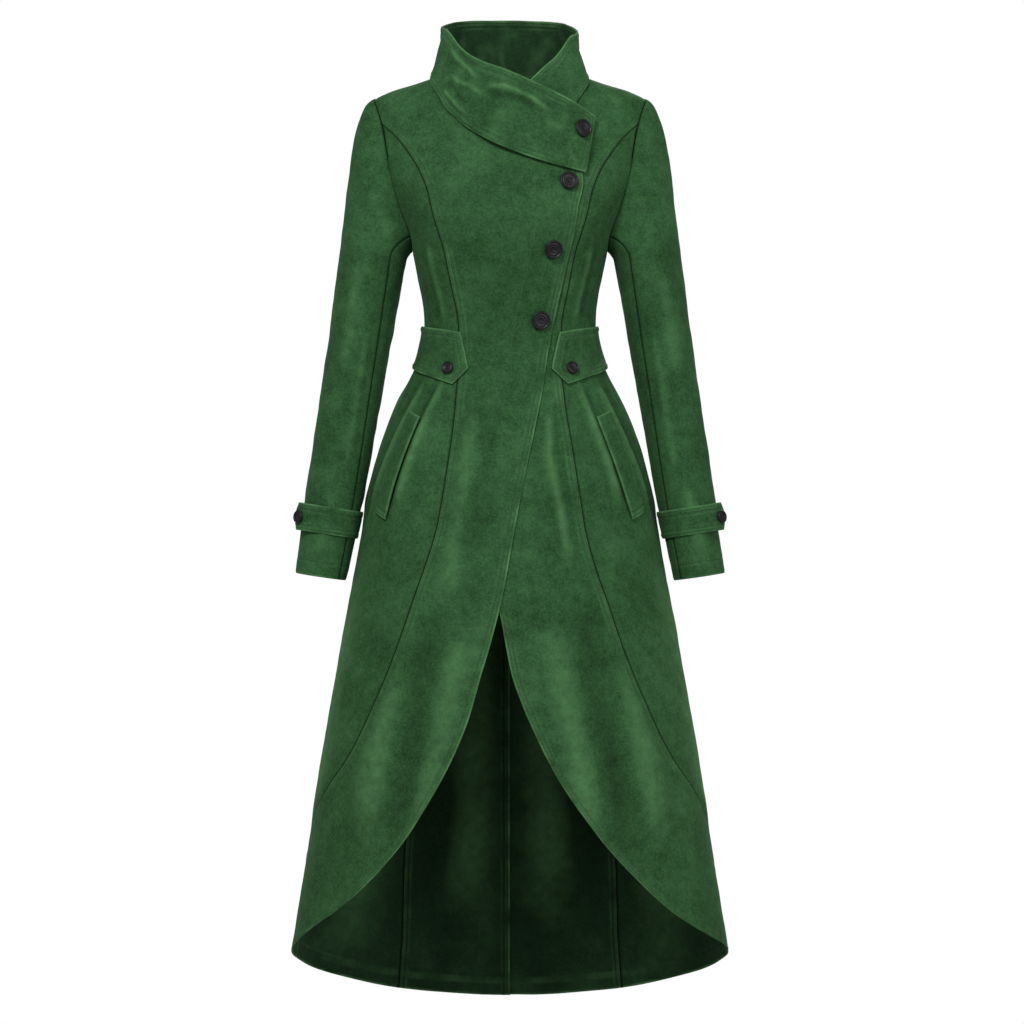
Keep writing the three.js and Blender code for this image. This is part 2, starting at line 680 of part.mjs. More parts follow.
// The strap's own surface turns away from the sleeve where its free end stands off.
function offStrap(turn, along, lift) {
  const onStrap = (...place) => offSleeve(...place, strapLift(place[0]));
  const across = onStrap(turn + 1, along).sub(onStrap(turn - 1, along));
  const up = onStrap(turn, along + 0.01).sub(onStrap(turn, along - 0.01));
  return onStrap(turn, along).addScaledVector(across.cross(up).normalize(), lift);
}
const offRightStrap = (turn, along, lift) => offStrap(turn, along, lift).multiply(MIRROR);
buttonOn(offStrap, 'button_cuff_left', SMALL_BUTTON, 57.5, 0.172, 0);
buttonOn(offRightStrap, 'button_cuff_right', SMALL_BUTTON, 57.5, 0.172, 0);

export default coat;
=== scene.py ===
import math

import bmesh
import bpy
import numpy as np
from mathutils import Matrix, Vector


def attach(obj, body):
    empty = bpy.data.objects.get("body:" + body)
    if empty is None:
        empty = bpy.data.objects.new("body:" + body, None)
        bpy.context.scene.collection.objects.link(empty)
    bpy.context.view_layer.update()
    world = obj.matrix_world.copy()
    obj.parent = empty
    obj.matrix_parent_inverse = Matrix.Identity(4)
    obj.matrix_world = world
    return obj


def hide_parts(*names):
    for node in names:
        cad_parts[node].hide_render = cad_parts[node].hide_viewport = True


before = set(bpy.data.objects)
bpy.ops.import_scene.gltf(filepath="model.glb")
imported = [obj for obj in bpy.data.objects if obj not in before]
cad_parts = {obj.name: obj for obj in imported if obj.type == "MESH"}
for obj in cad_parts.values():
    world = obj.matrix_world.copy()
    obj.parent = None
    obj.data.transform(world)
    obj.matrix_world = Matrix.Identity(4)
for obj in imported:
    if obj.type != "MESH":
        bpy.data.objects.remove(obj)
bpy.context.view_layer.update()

# The wearer's right front: moleskin cut from the neck seam to the cut-away hem, lapped over the
# left front and buttoned. Its edges are turned in and topstitched, its seams pressed flat and
# topstitched beside the shaping seam.
CLOTH = 2.0  # thickness of the moleskin
SEAM_GAP = 0.1  # between two pieces at a seam
LAP = 3.2  # outer face of a layer that laps over another
# Heights on the body, above the middle of the neck
SHOULDER_TIP = -25.5
NECK = 8
UNDERARM = -238
FRONT_TIP = -63
BACK_TIP = -110
NECK_CORNER = -127
LEFT_NECK_CORNER = -97
HEM_SIDE = -1204
HEM_DIP = 87  # how far the hem falls from the side to the back
HEM_SWING = 2.5
HEM_TIP = 84  # angle at which the cut-away fronts end
LOW_ROW = HEM_SIDE + 9
BELOW, ABOVE = -1300, 100  # heights past both ends of every piece
SIDES = (("left", 1), ("right", -1))  # the wearer's, and the sign of x there
# The photo's camera, through which creases are measured
CAMERA_X = 2.76
CAMERA_Y = -6000.0
CAMERA_HEIGHT = -596.16
PIXEL = 1.38
PHOTO_MIDDLE = 512


def curve(points):
    """A smooth curve through points that never overshoots them."""
    x, y = np.array(sorted(points), float).T
    gap = np.diff(x)
    rise = np.diff(y) / gap
    slope = np.concatenate([rise[:1], np.zeros(len(x) - 2), rise[-1:]])
    same = rise[:-1] * rise[1:] > 0
    before = gap[:-1] + 2 * gap[1:]
    after = 2 * gap[:-1] + gap[1:]
    safe = np.where(same, rise[:-1], 1.0), np.where(same, rise[1:], 1.0)
    slope[1:-1] = np.where(same, (before + after) / (before / safe[0] + after / safe[1]), 0)

    def at(value):
        value = np.clip(value, x[0], x[-1])
        i = np.clip(np.searchsorted(x, value, side="right") - 1, 0, len(gap) - 1)
        t = (value - x[i]) / gap[i]
        bend = t * (1 - t) * gap[i] * ((1 - t) * slope[i] - t * slope[i + 1])
        return y[i] + (y[i + 1] - y[i]) * t * t * (3 - 2 * t) + bend

    return at


def columns(rows):
    """One curve by the first column for each of the others."""
    return [curve([(row[0], row[i]) for row in rows]) for i in range(1, len(rows[0]))]


def smooth(value, low, high):
    t = np.clip((value - low) / (high - low), 0, 1)
    return t * t * (3 - 2 * t)


def mix(a, b, share):
    return a + (b - a) * share


def bell(distance, width):
    """1 on a line and falling off beside it."""
    return np.exp(-((distance / width) ** 2))


def distances_along(path):
    return np.concatenate([[0], np.cumsum(np.linalg.norm(np.diff(path, axis=0), axis=1))])


def places_along(path, distances, at):
    """The places at given distances along a path."""
    return np.stack([np.interp(at, distances, column) for column in np.transpose(path)], axis=-1)


# z, half width, depth in front, depth behind, roundness in front and behind
FORM = columns([
    (12, 92, 47, 60, 2.0, 2.0),
    (6, 99, 49, 63, 2.0, 2.0),
    (-5, 127, 51, 66, 2.0, 2.1),
    (-18, 168, 54, 70, 2.1, 2.2),
    (-31, 189, 59, 75, 2.2, 2.3),
    (-60, 188, 71, 84, 2.4, 2.4),
    (-113, 179, 93, 94, 2.4, 2.5),
    (-142, 170, 105, 96, 2.4, 2.5),
    (-172, 159, 115, 96, 2.4, 2.5),
    (-196, 148, 120, 94, 2.4, 2.5),
    (-221, 138, 119, 91, 2.4, 2.4),
    (-240, 134, 115, 88, 2.3, 2.4),
    (-281, 125.6, 104, 82, 2.3, 2.3),
    (-320, 119.4, 95, 76, 2.2, 2.3),
    (-345, 118.4, 92, 74, 2.2, 2.2),
    (-372, 123, 94, 77, 2.2, 2.2),
    (-397, 131, 99, 86, 2.2, 2.2),
    (-417, 140, 105, 95, 2.2, 2.2),
    (-455, 157.3, 118, 112, 2.2, 2.2),
    (-513, 178.7, 136, 134, 2.2, 2.2),
    (-590, 198.7, 154, 156, 2.15, 2.15),
    (-707, 219.4, 174, 180, 2.1, 2.1),
    (-900, 252.2, 196, 208, 2.1, 2.1),
    (-1196, 300.5, 222, 244, 2.1, 2.1),
    (-1300, 317, 231, 256, 2.1, 2.1),
])

# Soft ridges and troughs: top, foot, angle at both, width in degrees, height
FOLDS = [
    (-405, -640, -49, -62, 7, 4.5),
    (-430, -700, -33, -40, 6, -3.5),
    (-405, -660, 27, 36, 6, 4),
    (-430, -700, 47, 58, 7, -3.5),
    (-640, -1300, -66, -74, 9, 5),
    (-700, -1300, 66, 76, 9, 5),
    (-600, -1300, 112, 116, 10, 6),
    (-640, -1300, -110, -116, 10, 6),
    (-560, -1300, 132, 130, 9, -6),
    (-580, -1300, -131, -131, 9, -6),
    (-520, -1300, 158, 156, 9, 6),
    (-540, -1300, -157, -158, 9, 6),
    (-230, -345, -50, -38, 7, 2.5),
    (-235, -345, 52, 40, 7, 2.5),
]


def fold_height(angle, z):
    turn = (angle + 180) % 360 - 180
    total = 0
    for top, foot, top_angle, foot_angle, width, height in FOLDS:
        along = np.clip((top - z) / (top - foot), 0, 1)
        off = (turn - mix(top_angle, foot_angle, along)) / width
        fade = smooth(along, 0, 0.3) * (1 if foot < HEM_SIDE else 1 - smooth(along, 0.6, 1))
        total = total + height * fade * np.exp(-off * off)
    return total


def on_form(angle, z):
    half, front, back, round_front, round_back = [at(z) for at in FORM]
    turn = np.radians(angle)
    is_front = np.cos(turn) > 0
    power = np.where(is_front, round_front, round_back)
    depth = np.abs(np.cos(turn) / np.where(is_front, front, back))
    radius = (np.abs(np.sin(turn) / half) ** power + depth ** power) ** (-1 / power)
    radius = radius + fold_height(angle, z)
    return np.stack([radius * np.sin(turn), -radius * np.cos(turn), z + 0 * radius], axis=-1)


def unit(vectors):
    return vectors / np.maximum(np.linalg.norm(vectors, axis=-1, keepdims=True), 1e-9)


def off_form(angle, z, lift=0):
    """Points that stand off the form, and the form's normals there."""
    across = on_form(angle + 0.5, z) - on_form(angle - 0.5, z)
    up = on_form(angle, z + 0.5) - on_form(angle, z - 0.5)
    normal = unit(np.cross(across, up))
    return on_form(angle, z) + normal * np.asarray(lift)[..., None], normal


ARMHOLE = [
    (-90, 90, UNDERARM),
    (-60, 83.5, -231),
    (-35, 78, -219),
    (-10, 75.2, -194),
    (10, 74.8, -160),
    (35, 76, -116),
    (60, 80, FRONT_TIP),
    (90, 90, SHOULDER_TIP),
    (120, 99, -62),
    (145, 103.5, BACK_TIP),
    (170, 106, -155),
    (195, 106, -190),
    (220, 102, -215),
    (245, 96, -231),
    (270, 90, UNDERARM),
]
hole_angle, hole_height = columns(ARMHOLE)


def turning_point(is_past, start, end):
    """Where a test that is false at the start and true at the end changes."""
    for _ in range(30):
        middle = (start + end) / 2
        past = is_past(middle)
        start, end = np.where(past, start, middle), np.where(past, middle, end)
    return end


HOLE_ROWS = 400
hole_levels = np.linspace(UNDERARM, SHOULDER_TIP, HOLE_ROWS)
hole_front, hole_back = [
    hole_angle(turning_point(
        lambda turn: hole_height(turn) > hole_levels,
        np.full(HOLE_ROWS, low),
        np.full(HOLE_ROWS, 90.0),
    ))
    for low in (-90.0, 270.0)
]
front_seam = curve([
    (FRONT_TIP, 80),
    (-84.5, 71.3),
    (-105, 64.9),
    (-130, 57.6),
    (-163, 50.9),
    (-198, 47.4),
    (-256, 43.6),
    (-347, 42.2),
    (-422, 37.1),
    (-472, 34.6),
    (-533, 34),
    (-607, 35),
    (-665, 38.2),
    (-715, 42.2),
    (-785, 47.7),
    (-850, 54),
    (-932, 63.5),
    (-970, 71.1),
    (-1012, 81.7),
    (-1035, 86.7),
    (-1110, 94),
    (HEM_SIDE, 100),
])
NECK_ROWS = [(NECK, 86), (4, 77), (-10, 66), (-43, 52), (-65, 36)]
right_edge = curve([(z, -angle) for z, angle in NECK_ROWS] + [
    (-82, -18),
    (-100, 6),
    (-116, 30),
    (NECK_CORNER, 46.5),
    (-140, 46.9),
    (-188, 41.5),
    (-259, 38.8),
    (-323, 36.5),
    (-403, 26.8),
    (-479, 15.6),
    (-559, 7),
    (-636, 1.3),
    (-701, -2.6),
    (-768, -7.6),
    (-816, -11.8),
    (-872, -16.1),
    (-910, -20),
    (-972, -27.9),
    (-1047, -39.9),
    (-1118, -55.4),
    (-1170, -72.8),
    (LOW_ROW, -HEM_TIP),
])
left_edge = curve(NECK_ROWS + [
    (-82, 21),
    (LEFT_NECK_CORNER, 14),
    (-194, 6),
    (-255, 0),
    (-330, -8),
    (-400, -16),
    (-480, -20),
    (-560, -19),
    (-636, -14),
    (-700, -8.5),
    (-736, -4.2),
    (-775, -1.8),
    (-814, 0.7),
    (-855, 5),
    (-901, 10.8),
    (-954, 18.3),
    (-1034, 32.6),
    (-1093, 45.3),
    (-1129, 54.2),
    (-1176, 71.8),
    (LOW_ROW, HEM_TIP),
])


def front_outer(z):
    armhole = np.interp(z, hole_levels, hole_front)
    return np.where(z <= FRONT_TIP, front_seam(z), np.where(z <= SHOULDER_TIP, armhole, 90))


def hem(angle):
    across = np.cos(np.radians(angle))
    swing = np.where(across < 0, HEM_SWING * np.sin(2 * np.pi * across), 0)
    return HEM_SIDE + HEM_DIP * across - swing


# Distances from an edge at which the mesh has a line, so that a stitched edge is rounded
NEAR_EDGE = np.array([0, 0.7, 1.8, 3.4, 5.2, 7, 8.2, 9, 9.8, 11.4, 14.5])
PIVOTS = (-900, -300)  # heights past which a panel's rows lean to its hem or its top
PANEL_PITCH = 5
TRIM_PITCH = 4


def lay(place, levels, pitch):
    """A grid of points and normals on a piece, with lines at set distances from its two sides."""
    fine = np.linspace(0, 1, 121)
    lengths = []
    for level in levels:
        lengths.append(distances_along(place(fine, level)[0]))
    widest = max(length[-1] for length in lengths)
    inner = max(2, math.ceil((widest - 2 * NEAR_EDGE[-1]) / pitch))
    points, normals = [], []
    for level, length in zip(levels, lengths):
        near = NEAR_EDGE * min(1, 0.45 * length[-1] / NEAR_EDGE[-1])
        between = np.linspace(near[-1], length[-1] - near[-1], inner + 1)[1:-1]
        targets = np.concatenate([near, between, length[-1] - near[::-1]])
        point, normal = place(np.interp(targets, length, fine), level)
        points.append(point)
        normals.append(normal)
    return np.array(points), np.array(normals)


def panel_place(left, right, top=lambda across: FRONT_TIP, lift=lambda angle, z: 0 * z):
    """Where a body panel lies between two edges. A level above FRONT_TIP is a height itself."""
    def place(across, level):
        foot = mix(left(LOW_ROW), right(LOW_ROW), across)
        z = level + 0 * across
        if level < PIVOTS[0]:
            z = mix(PIVOTS[0], hem(foot), (level - PIVOTS[0]) / (LOW_ROW - PIVOTS[0]))
        elif PIVOTS[1] < level <= FRONT_TIP:
            z = mix(PIVOTS[1], top(across), (level - PIVOTS[1]) / (FRONT_TIP - PIVOTS[1]))
        middle = on_form(mix(left(z), right(z), across), z)
        inset = np.degrees(SEAM_GAP / 2 / np.hypot(middle[..., 0], middle[..., 1]))
        angle = mix(left(z) + inset, right(z) - inset, across)
        return off_form(angle, z, lift(angle, z))

    return place


def steps_between(size, inner, near=NEAR_EDGE):
    """Steps from 0 to 1 over a piece of this size, dense at both ends."""
    return np.concatenate([near / size, inner, 1 - near[::-1] / size])


def spaced(low, high, pitch):
    return np.linspace(low, high, max(2, math.ceil((high - low) / pitch) + 1))


BODY_LEVELS = np.concatenate([
    LOW_ROW + NEAR_EDGE,
    spaced(LOW_ROW + 19, LOW_ROW + 28, 2.5),
    spaced(LOW_ROW + 34, PIVOTS[0], 7),
    spaced(PIVOTS[0], -520, 6)[1:],
    spaced(-520, PIVOTS[1], 5)[1:],
    spaced(PIVOTS[1], FRONT_TIP, 5)[1:],
])
WHOLE_LEVELS = np.concatenate([
    BODY_LEVELS,
    spaced(FRONT_TIP, SHOULDER_TIP, 4)[1:],
    spaced(SHOULDER_TIP, NECK, 2.5)[1:],
])


def picture(points):
    """Where a point shows in the photo, in its pixels."""
    reach = -CAMERA_Y / (points[..., 1] - CAMERA_Y) / PIXEL
    return np.stack([
        PHOTO_MIDDLE + (points[..., 0] - CAMERA_X) * reach,
        PHOTO_MIDDLE - (points[..., 2] - CAMERA_HEIGHT) * reach,
    ], axis=-1)


def path_distance(places, path):
    """Distance from places to a path, and how far along the path its nearest point is, 0 to 1."""
    path = np.array(path, float)
    ends = distances_along(path)
    best = np.full(places.shape[:-1], 1e9)
    along = np.zeros_like(best)
    for a, b, start, end in zip(path[:-1], path[1:], ends[:-1], ends[1:]):
        t = np.clip(((places - a) @ (b - a)) / ((b - a) @ (b - a)), 0, 1)
        distance = np.linalg.norm(places - a - t[..., None] * (b - a), axis=-1)
        along = np.where(distance < best, (start + t * (end - start)) / ends[-1], along)
        best = np.minimum(best, distance)
    return best, along


def creases(places, rows):
    """Soft ridges (above 0) and valleys (below 0) along paths: (path, width, height)."""
    total = np.zeros(places.shape[:-1])
    for path, width, height in rows:
        distance, along = path_distance(places, path)
        fade = smooth(along, 0, 0.22) * (1 - smooth(along, 0.78, 1))
        total += height * fade * bell(distance, width)
    return total


def ripple(points, size, seed):
    """Smooth random values about 0, with ripples of roughly the given size in millimetres."""
    random = np.random.default_rng(seed)
    total = np.zeros(points.shape[:-1])
    for _ in range(7):
        way = random.normal(size=3)
        way *= 2 * math.pi / (np.linalg.norm(way) * size * random.uniform(0.7, 1.5))
        total += np.sin(points @ way + random.uniform(0, 2 * math.pi))
    return total / 3


def uneven(points, seed, long, short, high=0.5, low=0.2):
    """The small unevenness of cloth: long ripples with short ones on them."""
    return high * ripple(points, long, seed) + low * ripple(points, short, seed + 1)


def folds_down(points, turn, stretch, rows, seed):
    """Folds down a panel, and its unevenness. turn is the angle that each point lies at."""
    places = np.stack([turn * stretch, points[..., 2]], axis=-1)
    paths = [
        ([(a * stretch, z), (b * stretch, low)], width, height) for a, z, b, low, width, height in rows
    ]
    return creases(places, paths) + uneven(points, seed, 80, 30)


def angle_of(points):
    return np.degrees(np.arctan2(points[..., 0], -points[..., 1]))


def linear(colour):
    """An sRGB hex colour as linear RGBA."""
    parts = [int(colour[i:i + 2], 16) / 255 for i in (1, 3, 5)]
    return [c / 12.92 if c <= 0.04045 else ((c + 0.055) / 1.055) ** 2.4 for c in parts] + [1]


def node(material, kind, inputs=(), **settings):
    """Adds a shader node. An input is a value or another node's output."""
    made = material.node_tree.nodes.new(kind)
    for key, value in settings.items():
        setattr(made, key, value)
    for key, value in dict(inputs).items():
        if isinstance(value, bpy.types.NodeSocket):
            material.node_tree.links.new(value, made.inputs[key])
        else:
            made.inputs[key].default_value = value
    return made


def new_material(name):
    material = bpy.data.materials.new(name)
    material.use_nodes = True
    return material, material.node_tree.nodes["Principled BSDF"]


def value_of(material, operation, a, b, clamp=False):
    return node(
        material, "ShaderNodeMath", {0: a, 1: b}, operation=operation, use_clamp=clamp
    ).outputs[0]


def mixed(material, share, a, b):
    made = node(
        material, "ShaderNodeMix", {"Factor": share, "A": a, "B": b}, data_type="RGBA"
    )
    return made.outputs["Result"]


def make_moleskin(name, dark, light):
    """Cotton moleskin: a short brushed nap, with painted highlight on fold tops and edges (partly worn
    nap there) and painted shade in fold troughs and in seam and stitch grooves.
    """
    made, surface = new_material(name)
    at = node(made, "ShaderNodeTexCoord").outputs["Object"]

    def noise(scale, detail=3, rough=0.55):
        inputs = {"Vector": at, "Scale": scale, "Detail": detail, "Roughness": rough}
        return node(made, "ShaderNodeTexNoise", inputs).outputs[0]

    def attribute(name):
        return node(made, "ShaderNodeAttribute", attribute_name=name).outputs["Fac"]

    clouds = noise(16, 4, 0.6)
    patches = noise(75, 4, 0.65)
    grain = noise(330, 4, 0.7)
    half_clouds = value_of(made, "MULTIPLY", clouds, 0.5)
    half_patches = value_of(made, "MULTIPLY", patches, 0.5)
    fleck = value_of(made, "MULTIPLY", value_of(made, "SUBTRACT", grain, 0.5), 0.9)
    nap = value_of(made, "ADD", value_of(made, "ADD", half_clouds, half_patches), fleck)
    nap = node(made, "ShaderNodeMapRange", {0: nap, 1: 0.3, 2: 0.7}).outputs[0]
    ground = mixed(made, nap, linear(dark), linear(light))
    # Painted highlight: fold tops and stitched edges lighten towards pale green, more in the nap's
    # patches; at the edges it is partly worn nap.
    uneven_highlight = value_of(made, "ADD", patches, 0.25)
    highlight_and_wear = value_of(made, "MULTIPLY", attribute("ridge_highlight"), uneven_highlight, True)
    ground = mixed(made, highlight_and_wear, ground, linear("#5C8B59"))
    # Painted shade: fold troughs and seam and stitch grooves darken towards near-black green.
    ground = mixed(made, attribute("valley_shade"), ground, linear("#08160A"))
    made.node_tree.links.new(ground, surface.inputs["Base Color"])
    surface.inputs["Roughness"].default_value = 0.92
    surface.inputs["Specular IOR Level"].default_value = 0.12
    surface.inputs["Sheen Weight"].default_value = 0.16
    surface.inputs["Sheen Roughness"].default_value = 0.45
    surface.inputs["Sheen Tint"].default_value = linear("#79B27A")
    pucker = value_of(made, "MULTIPLY", noise(150, 2), attribute("pucker"))
    below = {}
    for height, strength, depth in (
        (pucker, 0.55, 0.0016), (patches, 0.5, 0.0022), (grain, 0.35, 0.0005)
    ):
        inputs = {"Strength": strength, "Distance": depth, "Height": height, **below}
        below = {"Normal": node(made, "ShaderNodeBump", inputs).outputs[0]}
    made.node_tree.links.new(below["Normal"], surface.inputs["Normal"])
    return made


moleskin = make_moleskin("napped_green_moleskin", "#1D3C20", "#355D37")
# The inner faces get a darker copy of the same cloth: painted shade for the inside of the coat.
inside_painted_shade = make_moleskin("moleskin_inside_painted_shade", "#122614", "#1E3A20")


def plain_material(name, colour, roughness):
    made, surface = new_material(name)
    surface.inputs["Base Color"].default_value = linear(colour)
    surface.inputs["Roughness"].default_value = roughness
    return made, surface


# Polyester topstitching thread, a shade lighter than the cloth.
thread, _ = plain_material("green_polyester_thread", "#3A663D", 0.6)


def side_distances(points):
    """How far each point is from the four sides of its grid, measured on the cloth."""
    across = np.linalg.norm(np.diff(points, axis=1), axis=2)
    left = np.concatenate([np.zeros((len(points), 1)), np.cumsum(across, axis=1)], axis=1)
    up = np.linalg.norm(np.diff(points, axis=0), axis=2)
    bottom = np.concatenate([np.zeros((1, points.shape[1])), np.cumsum(up, axis=0)])
    return {
        "left": left,
        "right": left[:, -1:] - left,
        "bottom": bottom,
        "top": bottom[-1:] - bottom,
    }


# How each kind of side is finished: how far its edge rolls in, how high the turned-in cloth swells,
# and how far in the topstitching lies.
FINISH = {
    "edge": (0.5, 0.6, 9.0),
    "felled": (1.1, 0.28, 8.2),
    "hem": (0.7, 0.15, 22.0),
    "seam": (1.1, 0.0, None),
    "folded": (0.8, 0.0, None),
}


SEAM_HOLD = 20  # distance from a seam over which folds fade
# How strong the painted highlight on a fold's top and the painted shade at its foot are: per
# millimetre, and at most
FOLD_HIGHLIGHT = (0.15, 0.55)
FOLD_SHADE = (0.11, 0.45)


def shell(name, points, normals, sides, relief=0, thickness=CLOTH, extra=()):
    """A piece of cloth with its outer face on a grid of points, finished along its sides.

    sides lists (kind, side, low, high): the finish holds between two heights, or all along where
    they are left out. extra lists further stitched lines, as paths in the photo."""
    sides = [(kind, side, *(span or (BELOW, ABOVE))) for kind, side, *span in sides]
    distance = side_distances(points)
    height = points[..., 2]
    joined = np.full(height.shape, 1e3)
    for kind, side, low, high in sides:
        if kind in ("seam", "felled"):
            joined = np.minimum(joined, distance[side])
    lift = relief * (1 - bell(joined, SEAM_HOLD))
    # Painted highlight: the higher a fold stands, the lighter its top.
    ridge_highlight = np.clip(lift * FOLD_HIGHLIGHT[0], 0, FOLD_HIGHLIGHT[1])
    # Painted shade: the deeper a fold's foot, the darker it is.
    valley_shade = np.clip(-lift * FOLD_SHADE[0], 0, FOLD_SHADE[1])
    pucker = np.zeros(height.shape)
    lines = []
    near = {kind: np.full(height.shape, 1e3) for kind in FINISH}
    for kind, side, low, high in sides:
        inside = (height >= low) & (height <= high)
        near[kind] = np.where(inside, np.minimum(near[kind], distance[side]), near[kind])
    for kind, (roll, swell, stitched) in FINISH.items():
        d = near[kind]
        lift -= roll * bell(d, 1.7)
        if kind in ("seam", "felled"):
            # Painted shade along the seam groove.
            valley_shade = np.maximum(valley_shade, bell(d, 1.3))
        if kind == "folded":
            # Painted highlight along the folded edge of a welt.
            ridge_highlight = np.maximum(ridge_highlight, 0.5 * bell(d - 1.3, 1.5))
        if stitched:
            ripples = 1 + 0.8 * ripple(points, 15, len(name))
            lift += swell * ripples * bell(d - 4.6, 3.0)
            lift -= 0.4 * bell(d - stitched, 1.3)
            # Painted highlight along stitched edges and beside the topstitching, partly worn nap,
            # stronger in some places than others.
            uneven_highlight = 0.75 + 0.5 * ripple(points, 40, 2 + len(name))
            ridge_highlight = np.maximum(ridge_highlight, 0.8 * uneven_highlight * bell(d - 1.0, 1.3))
            ridge_highlight = np.maximum(ridge_highlight, 0.25 * uneven_highlight * bell(d - stitched + 2.6, 1.6))
            ridge_highlight = np.maximum(ridge_highlight, 0.2 * uneven_highlight * bell(d - stitched - 2.8, 1.8))
            # Painted shade in the topstitching groove.
            valley_shade = np.maximum(valley_shade, 0.4 * bell(d - stitched, 0.9))
            pucker = np.maximum(pucker, bell(d - stitched, 6.5))
    for path in extra:
        d = path_distance(picture(points), path)[0] * PIXEL
        d = np.where(normals[..., 1] < 0, d, 1e3)
        pucker = np.maximum(pucker, 0.8 * bell(d, 5))
    placed = points + normals * lift[..., None]
    for kind, side, low, high in sides:
        stitched = FINISH[kind][2]
        if not stitched:
            continue
        along = distance[side]
        grids = [placed, normals, along]
        if side in ("top", "bottom"):
            grids = [np.swapaxes(grid, 0, 1) for grid in grids]
        line, line_normals = [], []
        for row, row_normals, row_distance in zip(*grids):
            order = np.argsort(row_distance)
            wanted = places_along(row[order], row_distance[order], stitched)
            if low <= wanted[2] <= high:
                line.append(wanted)
                line_normals.append(places_along(row_normals[order], row_distance[order], stitched))
        lines.append((np.array(line), np.array(line_normals)))

    mesh = bpy.data.meshes.new(name)
    rows_count, column_count = height.shape
    work = bmesh.new()
    bmesh.ops.create_grid(work, x_segments=column_count - 1, y_segments=rows_count - 1, size=0.5)
    work.verts.ensure_lookup_table()
    order = [
        (round((v.co.y + 0.5) * (rows_count - 1)), round((v.co.x + 0.5) * (column_count - 1)))
        for v in work.verts
    ]
    work.to_mesh(mesh)
    work.free()
    row, column = np.array(order).T
    mesh.vertices.foreach_set("co", (placed[row, column] / 1000).ravel())
    # The first two attributes carry the painted highlight and the painted shade; pucker only bends the
    # surface.
    for label, values in (("ridge_highlight", ridge_highlight), ("valley_shade", valley_shade), ("pucker", pucker)):
        layer = mesh.attributes.new(label, "FLOAT", "POINT")
        layer.data.foreach_set("value", np.clip(values, 0, 1)[row, column])
    corners = np.empty(len(mesh.loops), int)
    mesh.loops.foreach_get("vertex_index", corners)
    flat = np.stack([distance["left"], distance["bottom"]], axis=-1)[row, column] / 1000
    mesh.uv_layers.new(name="cloth").data.foreach_set("uv", flat[corners].ravel())
    mesh.polygons.foreach_set("use_smooth", [True] * len(mesh.polygons))
    piece = bpy.data.objects.new(name, mesh)
    bpy.context.collection.objects.link(piece)
    mesh.materials.append(moleskin)
    # The inner faces take the darker copy of the cloth, which is painted shade.
    mesh.materials.append(inside_painted_shade)
    wall = piece.modifiers.new("wall", "SOLIDIFY")
    wall.thickness = thickness / 1000
    wall.offset = -1
    wall.material_offset = 1
    rounded = piece.modifiers.new("rounded_rim", "BEVEL")
    rounded.width = 0.0006
    rounded.segments = 2
    rounded.limit_method = "ANGLE"
    rounded.angle_limit = math.radians(60)
    return piece, lines, (placed, normals)


STITCH_RISE = np.array([-0.3, 0.12, 0.12, -0.3])  # of four points along a stitch


def stitches(name, lines, length=2.6, gap=1.0, radius=0.33):
    """A row of machine stitches along each line: short threads that dip into the cloth."""
    shape = bpy.data.curves.new(name, "CURVE")
    shape.dimensions = "3D"
    shape.bevel_depth = radius / 1000
    shape.bevel_resolution = 0
    for line, normals in lines:
        if len(line) < 2:
            continue
        ends = distances_along(line)
        for start in np.arange(gap, ends[-1] - length, length + gap):
            at = start + length * np.array([0, 0.25, 0.75, 1])
            facing = unit(places_along(normals, ends, at))
            places = places_along(line, ends, at) + facing * STITCH_RISE[:, None]
            spline = shape.splines.new("POLY")
            spline.points.add(3)
            flat = np.concatenate([places / 1000, np.ones((4, 1))], axis=1)
            spline.points.foreach_set("co", flat.ravel())
    holder = bpy.data.objects.new(name, shape)
    mesh = bpy.data.meshes.new_from_object(holder)
    bpy.data.objects.remove(holder)
    made = bpy.data.objects.new(name, mesh)
    bpy.context.collection.objects.link(made)
    mesh.materials.clear()
    mesh.materials.append(thread)
    return made


def finish_cloth(piece, node_name, lines):
    """Stitches a piece of cloth along its lines and hands both to the frame."""
    seams = stitches(f"{node_name}_stitches", lines)
    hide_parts(node_name)
    for part in (piece, seams):
        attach(part, "root")


def photo_line(paths, surface):
    """Lines of the photo laid on a surface: each of its points takes the nearest grid point."""
    placed, normals = surface
    facing = normals[..., 1] < 0
    seen = picture(placed)[facing]
    flat, flat_normals = placed[facing], normals[facing]
    laid = []
    for path in paths:
        path = np.array(path, float)
        ends = distances_along(path)
        spots = places_along(path, ends, np.arange(0, ends[-1], 2.0))
        line, line_normals = [], []
        for spot in spots:
            off = np.linalg.norm(seen - spot, axis=-1)
            near = np.argsort(off)[:4]
            weight = 1 / (off[near] + 0.2)
            middle = (flat[near] * weight[:, None]).sum(axis=0) / weight.sum()
            reach = (middle[1] - CAMERA_Y) / -CAMERA_Y * PIXEL
            middle[0] = (spot[0] - PHOTO_MIDDLE) * reach + CAMERA_X
            middle[2] = (PHOTO_MIDDLE - spot[1]) * reach + CAMERA_HEIGHT
            line.append(middle)
            line_normals.append((flat_normals[near] * weight[:, None]).sum(axis=0))
        laid.append((np.array(line), np.array(line_normals)))
    return laid


def buttonhole(x, y, half):
    """The stitched outline of a buttonhole in the photo, with its round eye at the right."""
    sides = [(-half, 0), (0.6 - half, -0.8), (half - 2.5, -0.8), (half - 1.4, -1.6), (half, -0.9)]
    return [(x + dx, y + dy) for dx, dy in sides + [(dx, -dy) for dx, dy in sides[::-1]]]


# The photo's stitched line down the front, and its buttonholes: x, y, half length
PLACKET = [(550, 167), (542, 200), (528, 264), (519, 305), (507, 365), (493, 366)]
FRONT_HOLES = [(568, 182, 15), (551, 249, 15), (539, 320, 15)]
